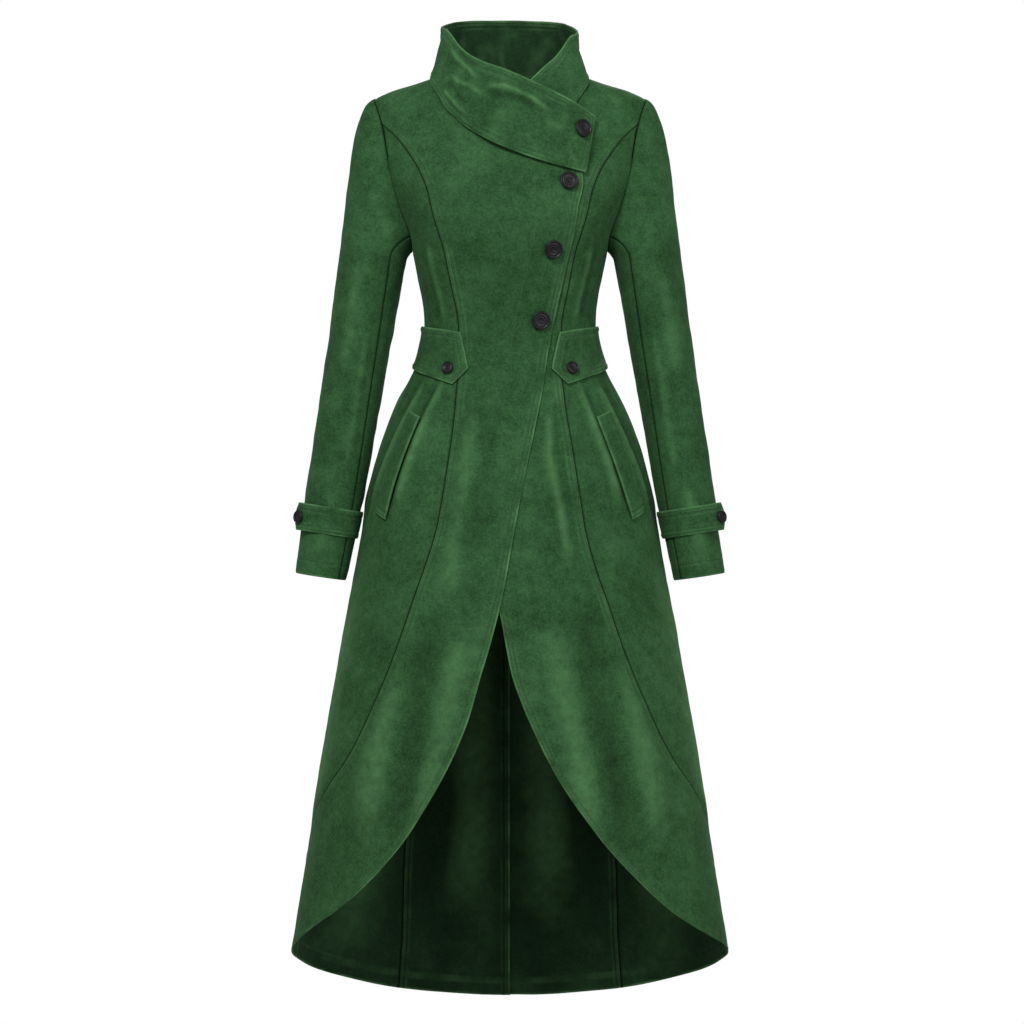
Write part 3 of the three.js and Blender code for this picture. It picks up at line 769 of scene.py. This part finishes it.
# Creases of this front: path in the photo, width, height
RIGHT_CREASES = [
    ([(434, 240), (436, 285), (436, 326)], 3.2, 3.0),
    ([(443, 268), (446, 300), (445, 326)], 2.8, -2.4),
    ([(428, 372), (408, 440), (386, 500)], 5, 2.6),
    ([(436, 385), (434, 429), (429, 467), (417, 520)], 3, 4.0),
    ([(431, 400), (428, 440), (418, 489), (410, 525)], 3, -3.6),
    ([(470, 390), (466, 450), (452, 540), (440, 620)], 10, 2.0),
    ([(489, 400), (484, 480), (470, 580)], 9, -1.6),
    ([(400, 560), (384, 700), (362, 860)], 14, 3.5),
    ([(430, 600), (412, 740), (390, 880)], 14, -3.0),
    ([(462, 620), (440, 740), (410, 850)], 14, 2.6),
]
place = panel_place(
    lambda z: -front_outer(z),
    right_edge,
    lift=lambda angle, z: LAP * smooth(angle - left_edge(np.minimum(z, LEFT_NECK_CORNER)), -12, -3),
)
points, normals = lay(place, WHOLE_LEVELS, PANEL_PITCH)
relief = creases(picture(points), RIGHT_CREASES)
relief += uneven(points, 3, 70, 28)
front_right, lines, laid = shell(
    "front_right_cloth", points, normals,
    [
        ("felled", "left", BELOW, FRONT_TIP),
        ("seam", "left", FRONT_TIP, ABOVE),
        ("edge", "right", BELOW, NECK_CORNER),
        ("hem", "bottom"),
    ],
    relief, extra=[PLACKET],
)
lines += photo_line([PLACKET] + [buttonhole(*hole) for hole in FRONT_HOLES], laid)
finish_cloth(front_right, "front_right", lines)

# The wearer's left front: the same moleskin, lapped under the right one down to the cut-away.
LEFT_CREASES = [
    ([(589, 268), (590, 300), (592, 326)], 4, 2.2),
    ([(581, 275), (580, 305), (581, 328)], 3, -1.5),
    ([(549, 400), (549, 454), (560, 510), (571, 571)], 4.5, 3.2),
    ([(556, 400), (560, 450), (571, 505), (582, 560)], 4, -2.4),
    ([(592, 385), (606, 440), (626, 500)], 5, 2.4),
    ([(545, 600), (570, 720), (600, 850)], 14, 2.8),
    ([(575, 580), (604, 720), (640, 870)], 14, -3.0),
    ([(612, 560), (640, 720), (664, 860)], 14, 3.2),
]
place = panel_place(left_edge, front_outer)
points, normals = lay(place, WHOLE_LEVELS, PANEL_PITCH)
relief = creases(picture(points), LEFT_CREASES)
relief += uneven(points, 5, 70, 28)
front_left, lines, _ = shell(
    "front_left_cloth", points, normals,
    [
        ("felled", "right", BELOW, FRONT_TIP),
        ("seam", "right", FRONT_TIP, ABOVE),
        ("edge", "left", BELOW, LEFT_NECK_CORNER),
        ("hem", "bottom"),
    ],
    relief,
)
finish_cloth(front_left, "front_left", lines)

# Side panels: one cut of moleskin on each side, from the front shaping seam under the armhole to
# the back one, gathered a little above and below the waist tab.
back_seam = curve([
    (BACK_TIP, 103.5),
    (-150, 118),
    (-200, 129),
    (-260, 136),
    (-345, 141),
    (-450, 146),
    (-700, 145),
    (-1068, 142.5),
    (HEM_SIDE, 144),
])


def armhole_height(across):
    def angle_at(z):
        return mix(front_seam(z), back_seam(z), across)

    start = np.full(np.shape(across), float(UNDERARM))
    front = turning_point(
        lambda z: angle_at(z) > np.interp(z, hole_levels, hole_front), start, start * 0 + FRONT_TIP
    )
    back = turning_point(
        lambda z: angle_at(z) < np.interp(z, hole_levels, hole_back), start, start * 0 + BACK_TIP
    )
    return np.where(angle_at(UNDERARM) < 90, front, back) - 2.5 * np.sin(np.pi * across)


# Gathers above and pleats below the waist tab, and long soft troughs down the skirt: angle and
# height of the top, angle and height of the foot, width, height
SIDE_STRETCH = 2.2
SIDE_FOLDS = [
    (56, -225, 54, -345, 5, 2.8),
    (62, -235, 60, -345, 5, -2.2),
    (84, -255, 80, -345, 7, -1.8),
    (106, -250, 104, -345, 8, 1.8),
    (126, -260, 124, -345, 8, -1.4),
    (46, -400, 57, -600, 5, 3.6),
    (51, -400, 62, -620, 5, -3.4),
    (60, -405, 78, -600, 6, 3.2),
    (66, -405, 84, -640, 6, -3.0),
    (82, -400, 92, -620, 8, 3.0),
    (98, -400, 104, -640, 9, -2.6),
    (118, -400, 122, -640, 9, 2.8),
    (132, -400, 134, -600, 8, -2.2),
    (78, -620, 84, -1230, 18, 3.5),
    (96, -600, 101, -1230, 18, -3.5),
    (124, -600, 126, -1250, 18, 3.0),
]
for side, sign in SIDES:
    if sign > 0:
        place = panel_place(front_seam, back_seam, top=armhole_height)
    else:
        place = panel_place(
            lambda z: -back_seam(z), lambda z: -front_seam(z),
            top=lambda across: armhole_height(1 - across),
        )
    points, normals = lay(place, BODY_LEVELS, PANEL_PITCH)
    side_piece, lines, _ = shell(
        f"side_{side}_cloth", points, normals,
        [("seam", "left"), ("seam", "right"), ("seam", "top"), ("hem", "bottom")],
        folds_down(points, sign * angle_of(points), SIDE_STRETCH, SIDE_FOLDS, 10 + sign),
    )
    finish_cloth(side_piece, f"side_{side}", lines)

# Back panels: two cuts of moleskin, seamed down the centre to the top of a vent, where the left
# one laps over. The vent edges and the hem are turned in and topstitched.
VENT_TOP = -745
VENT_LAP = 8  # angle that the left layer reaches past the centre
VENT_START = 40  # height over which the lap opens below the vent's top
VENT_RISE = 90  # height over which the back eases out above it


def back_outer(z):
    armhole = np.interp(z, hole_levels, hole_back)
    return np.where(z <= BACK_TIP, back_seam(z), np.where(z <= SHOULDER_TIP, armhole, 90))


# Soft folds from the waist down both sides of the centre back, as in SIDE_FOLDS
BACK_STRETCH = 2.6
BACK_FOLDS = [
    (164, -300, 163, -420, 8, 1.8),
    (150, -300, 151, -420, 8, -1.4),
    (196, -300, 197, -420, 8, 1.8),
    (211, -300, 209, -420, 8, -1.4),
    (168, -520, 166, -1230, 20, 3.4),
    (152, -500, 150, -1230, 20, -3.0),
    (193, -540, 194, -1230, 20, 3.2),
    (208, -520, 211, -1230, 20, -3.2),
]
for side in ("left", "right"):
    if side == "left":
        place = panel_place(
            back_outer,
            lambda z: 180 + VENT_LAP * (1 - smooth(z, VENT_TOP - VENT_START, VENT_TOP)),
            lift=lambda angle, z: (
                LAP * smooth(angle, 172, 178) * (1 - smooth(z, VENT_TOP - 5, VENT_TOP + VENT_RISE))
            ),
        )
        seam_side, vent_side = "left", "right"
    else:
        place = panel_place(lambda z: -180 + 0 * z, lambda z: -back_outer(z))
        seam_side, vent_side = "right", "left"
    points, normals = lay(place, WHOLE_LEVELS, PANEL_PITCH)
    back, lines, _ = shell(
        f"back_{side}_cloth", points, normals,
        [
            ("felled", seam_side, BELOW, BACK_TIP),
            ("seam", seam_side, BACK_TIP, ABOVE),
            ("seam", vent_side, VENT_TOP, ABOVE),
            ("edge", vent_side, BELOW, VENT_TOP),
            ("hem", "bottom"),
        ],
        folds_down(points, angle_of(points) % 360, BACK_STRETCH, BACK_FOLDS, 20 + len(side)),
    )
    finish_cloth(back, f"back_{side}", lines)

# Two-piece sleeves in the same moleskin: an upper and an under cut, seamed down the front and the
# back of the arm, eased into the armhole, with a turned and stitched hem.
# Height along the arm, x and y of its middle, half width, half depth
ARM = columns([
    (-243, 189, 2, 46.5, 60),
    (-300, 198, 4, 45, 57),
    (-359, 207, 4, 43.5, 54),
    (-417, 216.5, 2, 42.4, 51),
    (-475, 225.6, -2, 41.5, 49),
    (-552, 238, -8, 40.5, 46),
    (-591, 244.5, -12, 39.8, 44.5),
    (-629, 250.5, -16, 37.7, 43.5),
    (-685, 260.3, -22, 35.5, 42),
])
ARM_TILT = math.radians(8.5)
ARM_TOP = -243
ARM_FOOT = -685
HEAD_OUT = 0.155  # how far the sleeve head bows out and down, as shares of its length
HEAD_DOWN = 0.33
HEAD_CLEAR = -0.8  # how far outside the armhole the sleeve head ends
ARM_DOWN = np.array([math.sin(ARM_TILT), 0, -math.cos(ARM_TILT)])
ARM_ACROSS = np.array([math.cos(ARM_TILT), 0, math.sin(ARM_TILT)])


def on_arm(turn, z):
    x, y, half, depth = [at(z) for at in ARM]
    across = half * np.sin(np.radians(turn))
    forward = y - depth * np.cos(np.radians(turn))
    middle = np.stack([x + 0 * across, forward, z + 0 * across], axis=-1)
    return middle + ARM_ACROSS * across[..., None]


def on_sleeve(turn, along):
    """along is 0 at the cuff, 1 where the sleeve head starts and 2 at the armhole."""
    turn, along = np.broadcast_arrays(np.asarray(turn, float), np.asarray(along, float))
    low = on_arm(turn, mix(ARM_FOOT, ARM_TOP, np.minimum(along, 1)))
    near = (turn + 90) % 360 - 90
    hole = on_form(hole_angle(near), hole_height(near)) + np.array([HEAD_CLEAR, 0, 0])
    start = on_arm(turn, ARM_TOP + 0 * turn)
    length = np.linalg.norm(start - hole, axis=-1)[..., None]
    out = hole + np.array([HEAD_OUT, 0, 0]) * length
    down = start - ARM_DOWN * HEAD_DOWN * length
    t = np.clip(along - 1, 0, 1)[..., None]
    head = (
        (1 - t) ** 3 * start + 3 * (1 - t) ** 2 * t * down + 3 * (1 - t) * t * t * out + t ** 3 * hole
    )
    return np.where(along[..., None] <= 1, low, head)


def off_sleeve(turn, along, lift=0):
    ahead = np.where(np.asarray(along) > 1.98, 0, 0.01)
    up = on_sleeve(turn, along + ahead) - on_sleeve(turn, along + ahead - 0.01)
    across = on_sleeve(turn + 1, along) - on_sleeve(turn - 1, along)
    normal = unit(np.cross(across, up))
    return on_sleeve(turn, along) + normal * np.asarray(lift)[..., None], normal


def lay_arm(place, levels, pitch, sign):
    """A grid of points and normals on the left arm, or its mirror image on the right one."""
    grids = lay(place, levels, pitch)
    return grids if sign > 0 else [(grid * np.array([-1, 1, 1]))[:, ::-1] for grid in grids]


def sleeve_relief(points, sign, seed):
    """Long soft folds down the arm, deeper above the elbow and at the inside of the bend."""
    places = np.stack([points[..., 0] * sign + 0.155 * points[..., 2], points[..., 2]], axis=-1)
    around = points[..., 1]
    rows = [
        ([(122, -260), (120, -400)], 5, 2.4, -1),
        ([(132, -300), (130, -470)], 5, -2.4, -1),
        ([(141, -330), (140, -560)], 6, 2.0, -1),
        ([(168, -250), (166, -420)], 9, 1.6, -1),
        ([(152, -560), (160, -660)], 8, 1.5, -1),
        ([(120, -270), (122, -430)], 6, 2.2, 1),
        ([(134, -300), (136, -500)], 6, -2.4, 1),
        ([(160, -320), (158, -520)], 9, 2.0, 1),
        ([(180, -420), (172, -600)], 8, -1.6, 1),
    ]
    total = uneven(points, seed, 60, 26, 0.5, 0.25)
    for path, width, height, facing in rows:
        total = total + creases(places, [(path, width, height)]) * smooth(around * facing, -4, 12)
    return total


ARM_LENGTH = 444
SLEEVE_STEPS = np.concatenate([
    NEAR_EDGE / ARM_LENGTH,
    np.array([18, 21, 23, 26]) / ARM_LENGTH,
    np.linspace(0.07, 1, 88),
    np.linspace(1, 2, 52)[1:],
])
ARM_RADIUS = 45
sleeve_inset = math.degrees(SEAM_GAP / 2 / ARM_RADIUS)


def sleeve_front_seam(along):
    return mix(-49, -34, np.minimum(along, 1))


def sleeve_back_seam(along):
    return mix(222, 212, np.minimum(along, 1))


def upper_sleeve(across, along):
    start = sleeve_front_seam(along) + sleeve_inset
    turn = mix(start, sleeve_back_seam(along) - sleeve_inset, across)
    return off_sleeve(turn, along + 0 * across)


def under_sleeve(across, along):
    start = sleeve_back_seam(along) + sleeve_inset
    turn = mix(start, 360 + sleeve_front_seam(along) - sleeve_inset, across)
    return off_sleeve(turn, along + 0 * across)


for label, place, flat, area in (
    ("upper_sleeve", upper_sleeve, (0.40, 0.66), 0.126),
    ("under_sleeve", under_sleeve, (0.12, 0.50), 0.042),
):
    for side, sign in SIDES:
        points, normals = lay_arm(place, SLEEVE_STEPS, PANEL_PITCH, sign)
        piece, lines, _ = shell(
            f"{label}_{side}_cloth", points, normals,
            [("seam", "left"), ("seam", "right"), ("seam", "top"), ("hem", "bottom")],
            sleeve_relief(points, sign, 30 + sign),
        )
        finish_cloth(piece, f"{label}_{side}", lines)

# Cuff straps: doubled moleskin, sewn into the back seam of the sleeve, with a buttoned point.
STRAP_LOW = 0.131  # its long sides, as shares of the way up the sleeve
STRAP_HIGH = 0.216
STRAP_START = -140
STRAP_POINT = 76
STRAP_CORNER = 65
STRAP_STAND = 9  # how far its free end stands off the sleeve
STRAP_HEIGHT = 40


def off_strap(turn, along, lift=0):
    """Points on the strap and its normals there."""
    def on_strap(turn, along):
        return off_sleeve(turn, along, LAP + STRAP_STAND * smooth(turn, 15, 80))[0]

    across = on_strap(turn + 1, along) - on_strap(turn - 1, along)
    up = on_strap(turn, along + 0.01) - on_strap(turn, along - 0.01)
    normal = unit(np.cross(across, up))
    return on_strap(turn, along) + normal * np.asarray(lift)[..., None], normal


def cuff_strap(across, step):
    end = mix(STRAP_POINT, STRAP_CORNER, abs(step - 0.5) * 2)
    return off_strap(mix(STRAP_START, end, across), mix(STRAP_LOW, STRAP_HIGH, step) + 0 * across)


STRAP_STEPS = steps_between(STRAP_HEIGHT, [0.5])
for side, sign in SIDES:
    points, normals = lay_arm(cuff_strap, STRAP_STEPS, TRIM_PITCH, sign)
    tip = "right" if sign > 0 else "left"
    piece, lines, _ = shell(
        f"cuff_strap_{side}_cloth", points, normals,
        [("edge", tip), ("edge", "bottom"), ("edge", "top")],
    )
    finish_cloth(piece, f"cuff_strap_{side}", lines)

# Waist tabs: doubled moleskin from the back shaping seam round the side to a buttoned point.
# Angle, height of the lower side, height of the upper side
TAB_ROWS = [
    (39.8, -423.5, -351),
    (60, -411, -345),
    (90, -399, -340),
    (115, -398, -345),
    (140, -400, -350),
]
tab_low, tab_high = columns(TAB_ROWS)
TAB_CORNER, TAB_FOOT, TAB_HEAD = TAB_ROWS[0]
TAB_END = TAB_ROWS[-1][0]
TAB_LIFT = 4
TAB_POINT = (30.8, -402)
TAB_HEIGHT = 58
TAB_STEPS = steps_between(TAB_HEIGHT, np.linspace(0.3, 0.7, 6))
# The tabs' buttonholes in the photo: the line midway between them, then x from it, y, half length
TABS_MIDDLE = 510
TAB_HOLE = (62.5, 368, 9)


def waist_tab(sign):
    def place(across, step):
        point = (TAB_POINT[1] - TAB_FOOT) / (TAB_HEAD - TAB_FOOT)
        away = 1 - step / point if step < point else (step - point) / (1 - point)
        front = mix(TAB_POINT[0], TAB_CORNER, away)
        angle = mix(front, TAB_END, across if sign > 0 else 1 - across)
        z = mix(tab_low(angle), tab_high(angle), step)
        return off_form(sign * angle, z, TAB_LIFT + 0 * z)

    return place


for side, sign in SIDES:
    points, normals = lay(waist_tab(sign), TAB_STEPS, TRIM_PITCH)
    piece, lines, laid = shell(
        f"waist_tab_{side}_cloth", points, normals,
        [
            ("edge", "left" if sign > 0 else "right"),
            ("seam", "right" if sign > 0 else "left"),
            ("edge", "bottom"),
            ("edge", "top"),
        ],
        0.3 * ripple(points, 30, 40 + sign),
    )
    out, *rest = TAB_HOLE
    lines += photo_line([buttonhole(TABS_MIDDLE + sign * out, *rest)], laid)
    finish_cloth(piece, f"waist_tab_{side}", lines)

# Pocket welts: folded strips of moleskin that stand over the slanting mouth of each pocket.
# Step along it, angles of its inner and outer side, their heights
WELT = columns([(0, 60.4, 68.8, -607, -596), (1, 52.6, 63.8, -467, -457)])
WELT_LENGTH = 140


def pocket_welt(sign):
    def place(across, step):
        inner, outer, inner_z, outer_z = [at(step) for at in WELT]
        share = across if sign > 0 else 1 - across
        z = mix(inner_z, outer_z, share)
        return off_form(sign * mix(inner, outer, share), z, LAP + 0 * z)

    return place


WELT_STEPS = steps_between(WELT_LENGTH, np.linspace(0.09, 0.91, 26), NEAR_EDGE[:8])
for side, sign in SIDES:
    points, normals = lay(pocket_welt(sign), WELT_STEPS, TRIM_PITCH)
    piece, lines, _ = shell(
        f"pocket_welt_{side}_cloth", points, normals,
        [("folded", "left"), ("folded", "right"), ("edge", "bottom"), ("folded", "top")],
    )
    finish_cloth(piece, f"pocket_welt_{side}", lines)

# Collar: two layers of moleskin sewn and turned, one long band that wraps the neck and crosses the
# front to a buttoned end. Topstitched all round, it creases softly where it folds across.
COLLAR_CLOTH = 2.6
# Station, angle, height and stand-off of the lower edge, angle, radius and height of the upper one,
# and how far the cloth bellies out between
COLLAR_ROWS = [
    (380, -84, 3.9, 378, 76, -10, 2),
    (396, -74, 3.9, 396, 78, 12, 2),
    (411, -52, 3.9, 410, 82, 28, 2),
    (420, -28, 3.9, 426, 85, 50, 2),
    (433, -4, 3.6, 435, 87, 59, 0),
    (450, 9, 3.2, 450, 89.5, 66, 0),
    (480, 5, 2.6, 480, 86, 83, 0),
    (510, -1, 2.4, 510, 82, 89, 2),
    (540, -3, 2.4, 540, 80, 91, 2),
    (570, -1, 2.4, 570, 82, 90, 2),
    (600, 5, 2.6, 600, 86, 85, 0),
    (630, 9, 3.2, 630, 90, 73, 0),
    (647, -4.5, 3.6, 641, 90.5, 70, 1),
    (658, -24, 3.9, 651, 88, 62, 3),
    (668, -48, 4, 670, 85, 38, 5),
    (684, -73, 4.4, 692, 85, 20, 5),
    (702, -90, 7.2, 714, 89, 8, 5),
    (726, -108, 7.8, 731, 95, -4, 4),
    (748, -123, 7.8, 749, 108, -20, 3),
    (765.5, -134, 7.8, 765, 122, -37, 2),
    (766.5, -134.5, 7.8, 779, 137, -56, 0),
]
COLLAR = columns([(i,) + row for i, row in enumerate(COLLAR_ROWS)])
COLLAR_LAST = len(COLLAR_ROWS) - 1


def on_collar(station, up):
    station, up = np.broadcast_arrays(np.asarray(station, float), np.asarray(up, float))
    low_angle, low_z, lift, top_angle, top_radius, top_z, belly = [at(station) for at in COLLAR]

    def clear_of_body(angle, z):
        spot = on_form(angle, z - lift)
        return np.hypot(spot[..., 0], spot[..., 1]) + lift

    angle = mix(low_angle, top_angle, up)
    z = mix(low_z, top_z, up)
    ruled = mix(clear_of_body(low_angle, low_z), top_radius, up) + belly * np.sin(np.pi * up)
    radius = np.maximum(ruled, clear_of_body(angle, z))
    turn = np.radians(angle)
    return np.stack([radius * np.sin(turn), -radius * np.cos(turn), z], axis=-1)


def off_collar(station, up, lift=0):
    step = 0.02
    ahead = on_collar(np.minimum(station + step, COLLAR_LAST), up)
    above = on_collar(station, np.minimum(up + step, 1))
    along = ahead - on_collar(np.maximum(station - step, 0), up)
    upward = above - on_collar(station, np.maximum(up - step, 0))
    normal = unit(np.cross(along, upward))
    return on_collar(station, up) + normal * np.asarray(lift)[..., None], normal


COLLAR_CREASES = [
    ([(449, 46), (458, 60), (470, 70), (478, 82)], 2.2, 3.4),
    ([(456, 47), (466, 60), (477, 68)], 2.2, -2.8),
    ([(450, 72), (458, 82), (470, 86), (484, 96)], 2.6, 3.0),
    ([(480, 92), (492, 86), (503, 86), (516, 90), (532, 98), (545, 108), (556, 112)], 2.6, 3.4),
    ([(476, 84), (494, 95), (508, 96), (524, 100), (538, 112)], 3.0, -3.2),
    ([(441, 87), (450, 98), (458, 107), (468, 116)], 2.2, 2.8),
    ([(446, 80), (456, 93), (466, 106)], 2.4, -2.4),
    ([(440, 95), (452, 110), (466, 122), (480, 130)], 2.2, 1.2),
    ([(567, 140), (571, 152), (578, 168)], 2.2, 2.0),
    ([(560, 140), (565, 155), (570, 166)], 2.4, -1.2),
    ([(545, 118), (556, 126), (566, 130)], 3, 1.2),
]
COLLAR_HOLE = (581, 127.5, 12)
COLLAR_PITCH = 3.5
COLLAR_HEIGHT = 88
COLLAR_STEPS = steps_between(COLLAR_HEIGHT, np.linspace(0.19, 0.81, 22))
points, normals = lay(
    lambda across, up: off_collar(across * COLLAR_LAST, up + 0 * across), COLLAR_STEPS, COLLAR_PITCH
)
# Only the half that wraps over the front, where it faces the camera, has the photo's creases.
column_count = points.shape[1]
outer_half = np.arange(column_count)[None, :, None] > column_count // 2
seen = np.where((normals[..., 1:2] < 0.2) & outer_half, picture(points), -1e4)
relief = creases(seen, COLLAR_CREASES)
relief += uneven(points, 51, 34, 16, 0.6, 0.25)
collar, lines, laid = shell(
    "collar_cloth", points, normals,
    [("edge", "left"), ("edge", "right"), ("edge", "bottom"), ("edge", "top")],
    relief, thickness=COLLAR_CLOTH,
)
lines += photo_line([buttonhole(*COLLAR_HOLE)], laid)
finish_cloth(collar, "collar", lines)

# Buttons: turned dark resin with a raised rim, a ring and a small sunk centre, sewn on with four
# strands of dark thread over a shank.
resin, surface = plain_material("polished_dark_resin", "#0F0B0D", 0.42)
surface.inputs["Specular IOR Level"].default_value = 0.32
sewing, _ = plain_material("dark_sewing_thread", "#1C1719", 0.7)
THREAD_GAP = 1.7  # between cloth and button
TURNED_STEPS = 56
# Radius and height, each as a share of the button's own
BUTTON_PROFILE = [
    (0.05, 0.3),
    (0.84, 0.02),
    (0.9, 0.06),
    (0.97, 0.3),
    (1.0, 0.5),
    (0.99, 0.72),
    (0.95, 0.92),
    (0.9, 1.0),
    (0.85, 0.98),
    (0.81, 0.84),
    (0.77, 0.7),
    (0.73, 0.66),
    (0.68, 0.74),
    (0.62, 0.8),
    (0.55, 0.76),
    (0.48, 0.66),
    (0.4, 0.62),
    (0.35, 0.66),
    (0.31, 0.68),
    (0.27, 0.62),
    (0.24, 0.48),
    (0.2, 0.4),
    (0.0, 0.4),
]


def button(node_name, radius, height, seat, normal):
    """A button on its shank. seat is the middle of its back."""
    turn = Vector((0, 0, 1)).rotation_difference(Vector(normal)).to_matrix().to_4x4()
    mesh = bpy.data.meshes.new(f"{node_name}_turned")
    work = bmesh.new()
    profile = [work.verts.new((r * radius, 0, h * height)) for r, h in BUTTON_PROFILE]
    edges = [work.edges.new(pair) for pair in zip(profile[:-1], profile[1:])]
    bmesh.ops.spin(
        work, geom=profile + edges, cent=(0, 0, 0), axis=(0, 0, 1), angle=2 * math.pi,
        steps=TURNED_STEPS,
    )
    bmesh.ops.remove_doubles(work, verts=work.verts, dist=0.001)
    for x, y in ((1, 1), (1, -1), (-1, 1), (-1, -1)):
        offset = radius * 0.1
        made = bmesh.ops.create_cone(
            work, segments=6, radius1=radius * 0.045, radius2=radius * 0.045,
            depth=height * 0.9 + THREAD_GAP - 0.2, cap_ends=True, cap_tris=False,
        )["verts"]
        middle = Vector((x * offset, y * offset, (height * 0.45 - THREAD_GAP) / 2 + 0.1))
        bmesh.ops.translate(work, verts=made, vec=middle)
        for vert in made:
            for face in vert.link_faces:
                face.material_index = 1
    bmesh.ops.recalc_face_normals(work, faces=work.faces)
    bmesh.ops.transform(work, matrix=turn, verts=work.verts)
    bmesh.ops.translate(work, verts=work.verts, vec=Vector(seat))
    bmesh.ops.scale(work, vec=(0.001, 0.001, 0.001), verts=work.verts)
    work.to_mesh(mesh)
    work.free()
    mesh.polygons.foreach_set("use_smooth", [True] * len(mesh.polygons))
    mesh.materials.append(resin)
    mesh.materials.append(sewing)
    made = bpy.data.objects.new(f"{node_name}_turned", mesh)
    bpy.context.collection.objects.link(made)
    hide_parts(node_name)
    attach(made, "root")


def seat_on(surface, first, second, lift):
    first, second = np.array([float(first)]), np.array([float(second)])
    point, normal = surface(first, second, np.array([lift + THREAD_GAP]))
    return point[0], normal[0]


BIG = (12.6, 4.2)  # radius and height
SMALL = (8.8, 3.4)
COLLAR_BUTTON = (COLLAR_LAST - 0.75, 0.64)
# The other large buttons: angle, height, stand-off of the cloth below
FRONT_BUTTONS = [(38.3, -148.3, LAP), (28, -239.1, LAP), (24.5, -335.1, LAP + 1)]
TAB_BUTTON = (44.8, -402)
CUFF_BUTTON = (57.5, 0.172)
buttons = [("button_front_1", BIG, seat_on(off_collar, *COLLAR_BUTTON, 0))]
for number, spot in enumerate(FRONT_BUTTONS, 2):
    buttons.append((f"button_front_{number}", BIG, seat_on(off_form, *spot)))
for side, sign in SIDES:
    seat = seat_on(off_form, sign * TAB_BUTTON[0], TAB_BUTTON[1], TAB_LIFT)
    buttons.append((f"button_tab_{side}", SMALL, seat))
for side, sign in SIDES:
    point, normal = seat_on(off_strap, *CUFF_BUTTON, 0)
    buttons.append((f"button_cuff_{side}", SMALL, (point * [sign, 1, 1], normal * [sign, 1, 1])))
for node_name, (radius, height), (seat, normal) in buttons:
    button(node_name, radius, height, seat, normal)

# Studio: plain white all round, as a camera sees it, with a soft key light from above and the left,
# a weaker fill from the right, and the photo's camera. There is no floor in the photo.
AMBIENT = 0.42  # light from all around
world = bpy.data.worlds.new("studio")
world.use_nodes = True
around = world.node_tree.nodes["Background"]
around.inputs["Color"].default_value = (1, 1, 1, 1)
rays = world.node_tree.nodes.new("ShaderNodeLightPath")
strength = world.node_tree.nodes.new("ShaderNodeMapRange")
strength.inputs["To Min"].default_value = AMBIENT
strength.inputs["To Max"].default_value = 1.0
world.node_tree.links.new(rays.outputs["Is Camera Ray"], strength.inputs["Value"])
world.node_tree.links.new(strength.outputs["Result"], around.inputs["Strength"])
bpy.context.scene.world = world


def soft_light(name, place, aim, size, power):
    lamp = bpy.data.lights.new(name, "AREA")
    lamp.size = size
    lamp.energy = power
    made = bpy.data.objects.new(name, lamp)
    made.location = place
    made.rotation_euler = (Vector(aim) - Vector(place)).to_track_quat("-Z", "Y").to_euler()
    bpy.context.collection.objects.link(made)


soft_light("key", (-1.1, -2.9, 2.0), (0, 0, -0.35), 0.9, 92)
soft_light("fill", (2.2, -3.0, 0.4), (0, 0, -0.8), 2.0, 46)
soft_light("back_light", (0.8, 3.2, 1.8), (0, 0, -0.5), 1.6, 60)

lens = bpy.data.cameras.new("photo_camera")
lens.sensor_width = 36
lens.lens = 152.85  # so that a pixel is 1.38 mm wide at the coat's middle
camera = bpy.data.objects.new("photo_camera", lens)
camera.location = (0.00276, CAMERA_Y / 1000, CAMERA_HEIGHT / 1000)
camera.rotation_euler = (math.pi / 2, 0, 0)
bpy.context.collection.objects.link(camera)
bpy.context.scene.camera = camera
bpy.context.scene.view_settings.view_transform = "Standard"
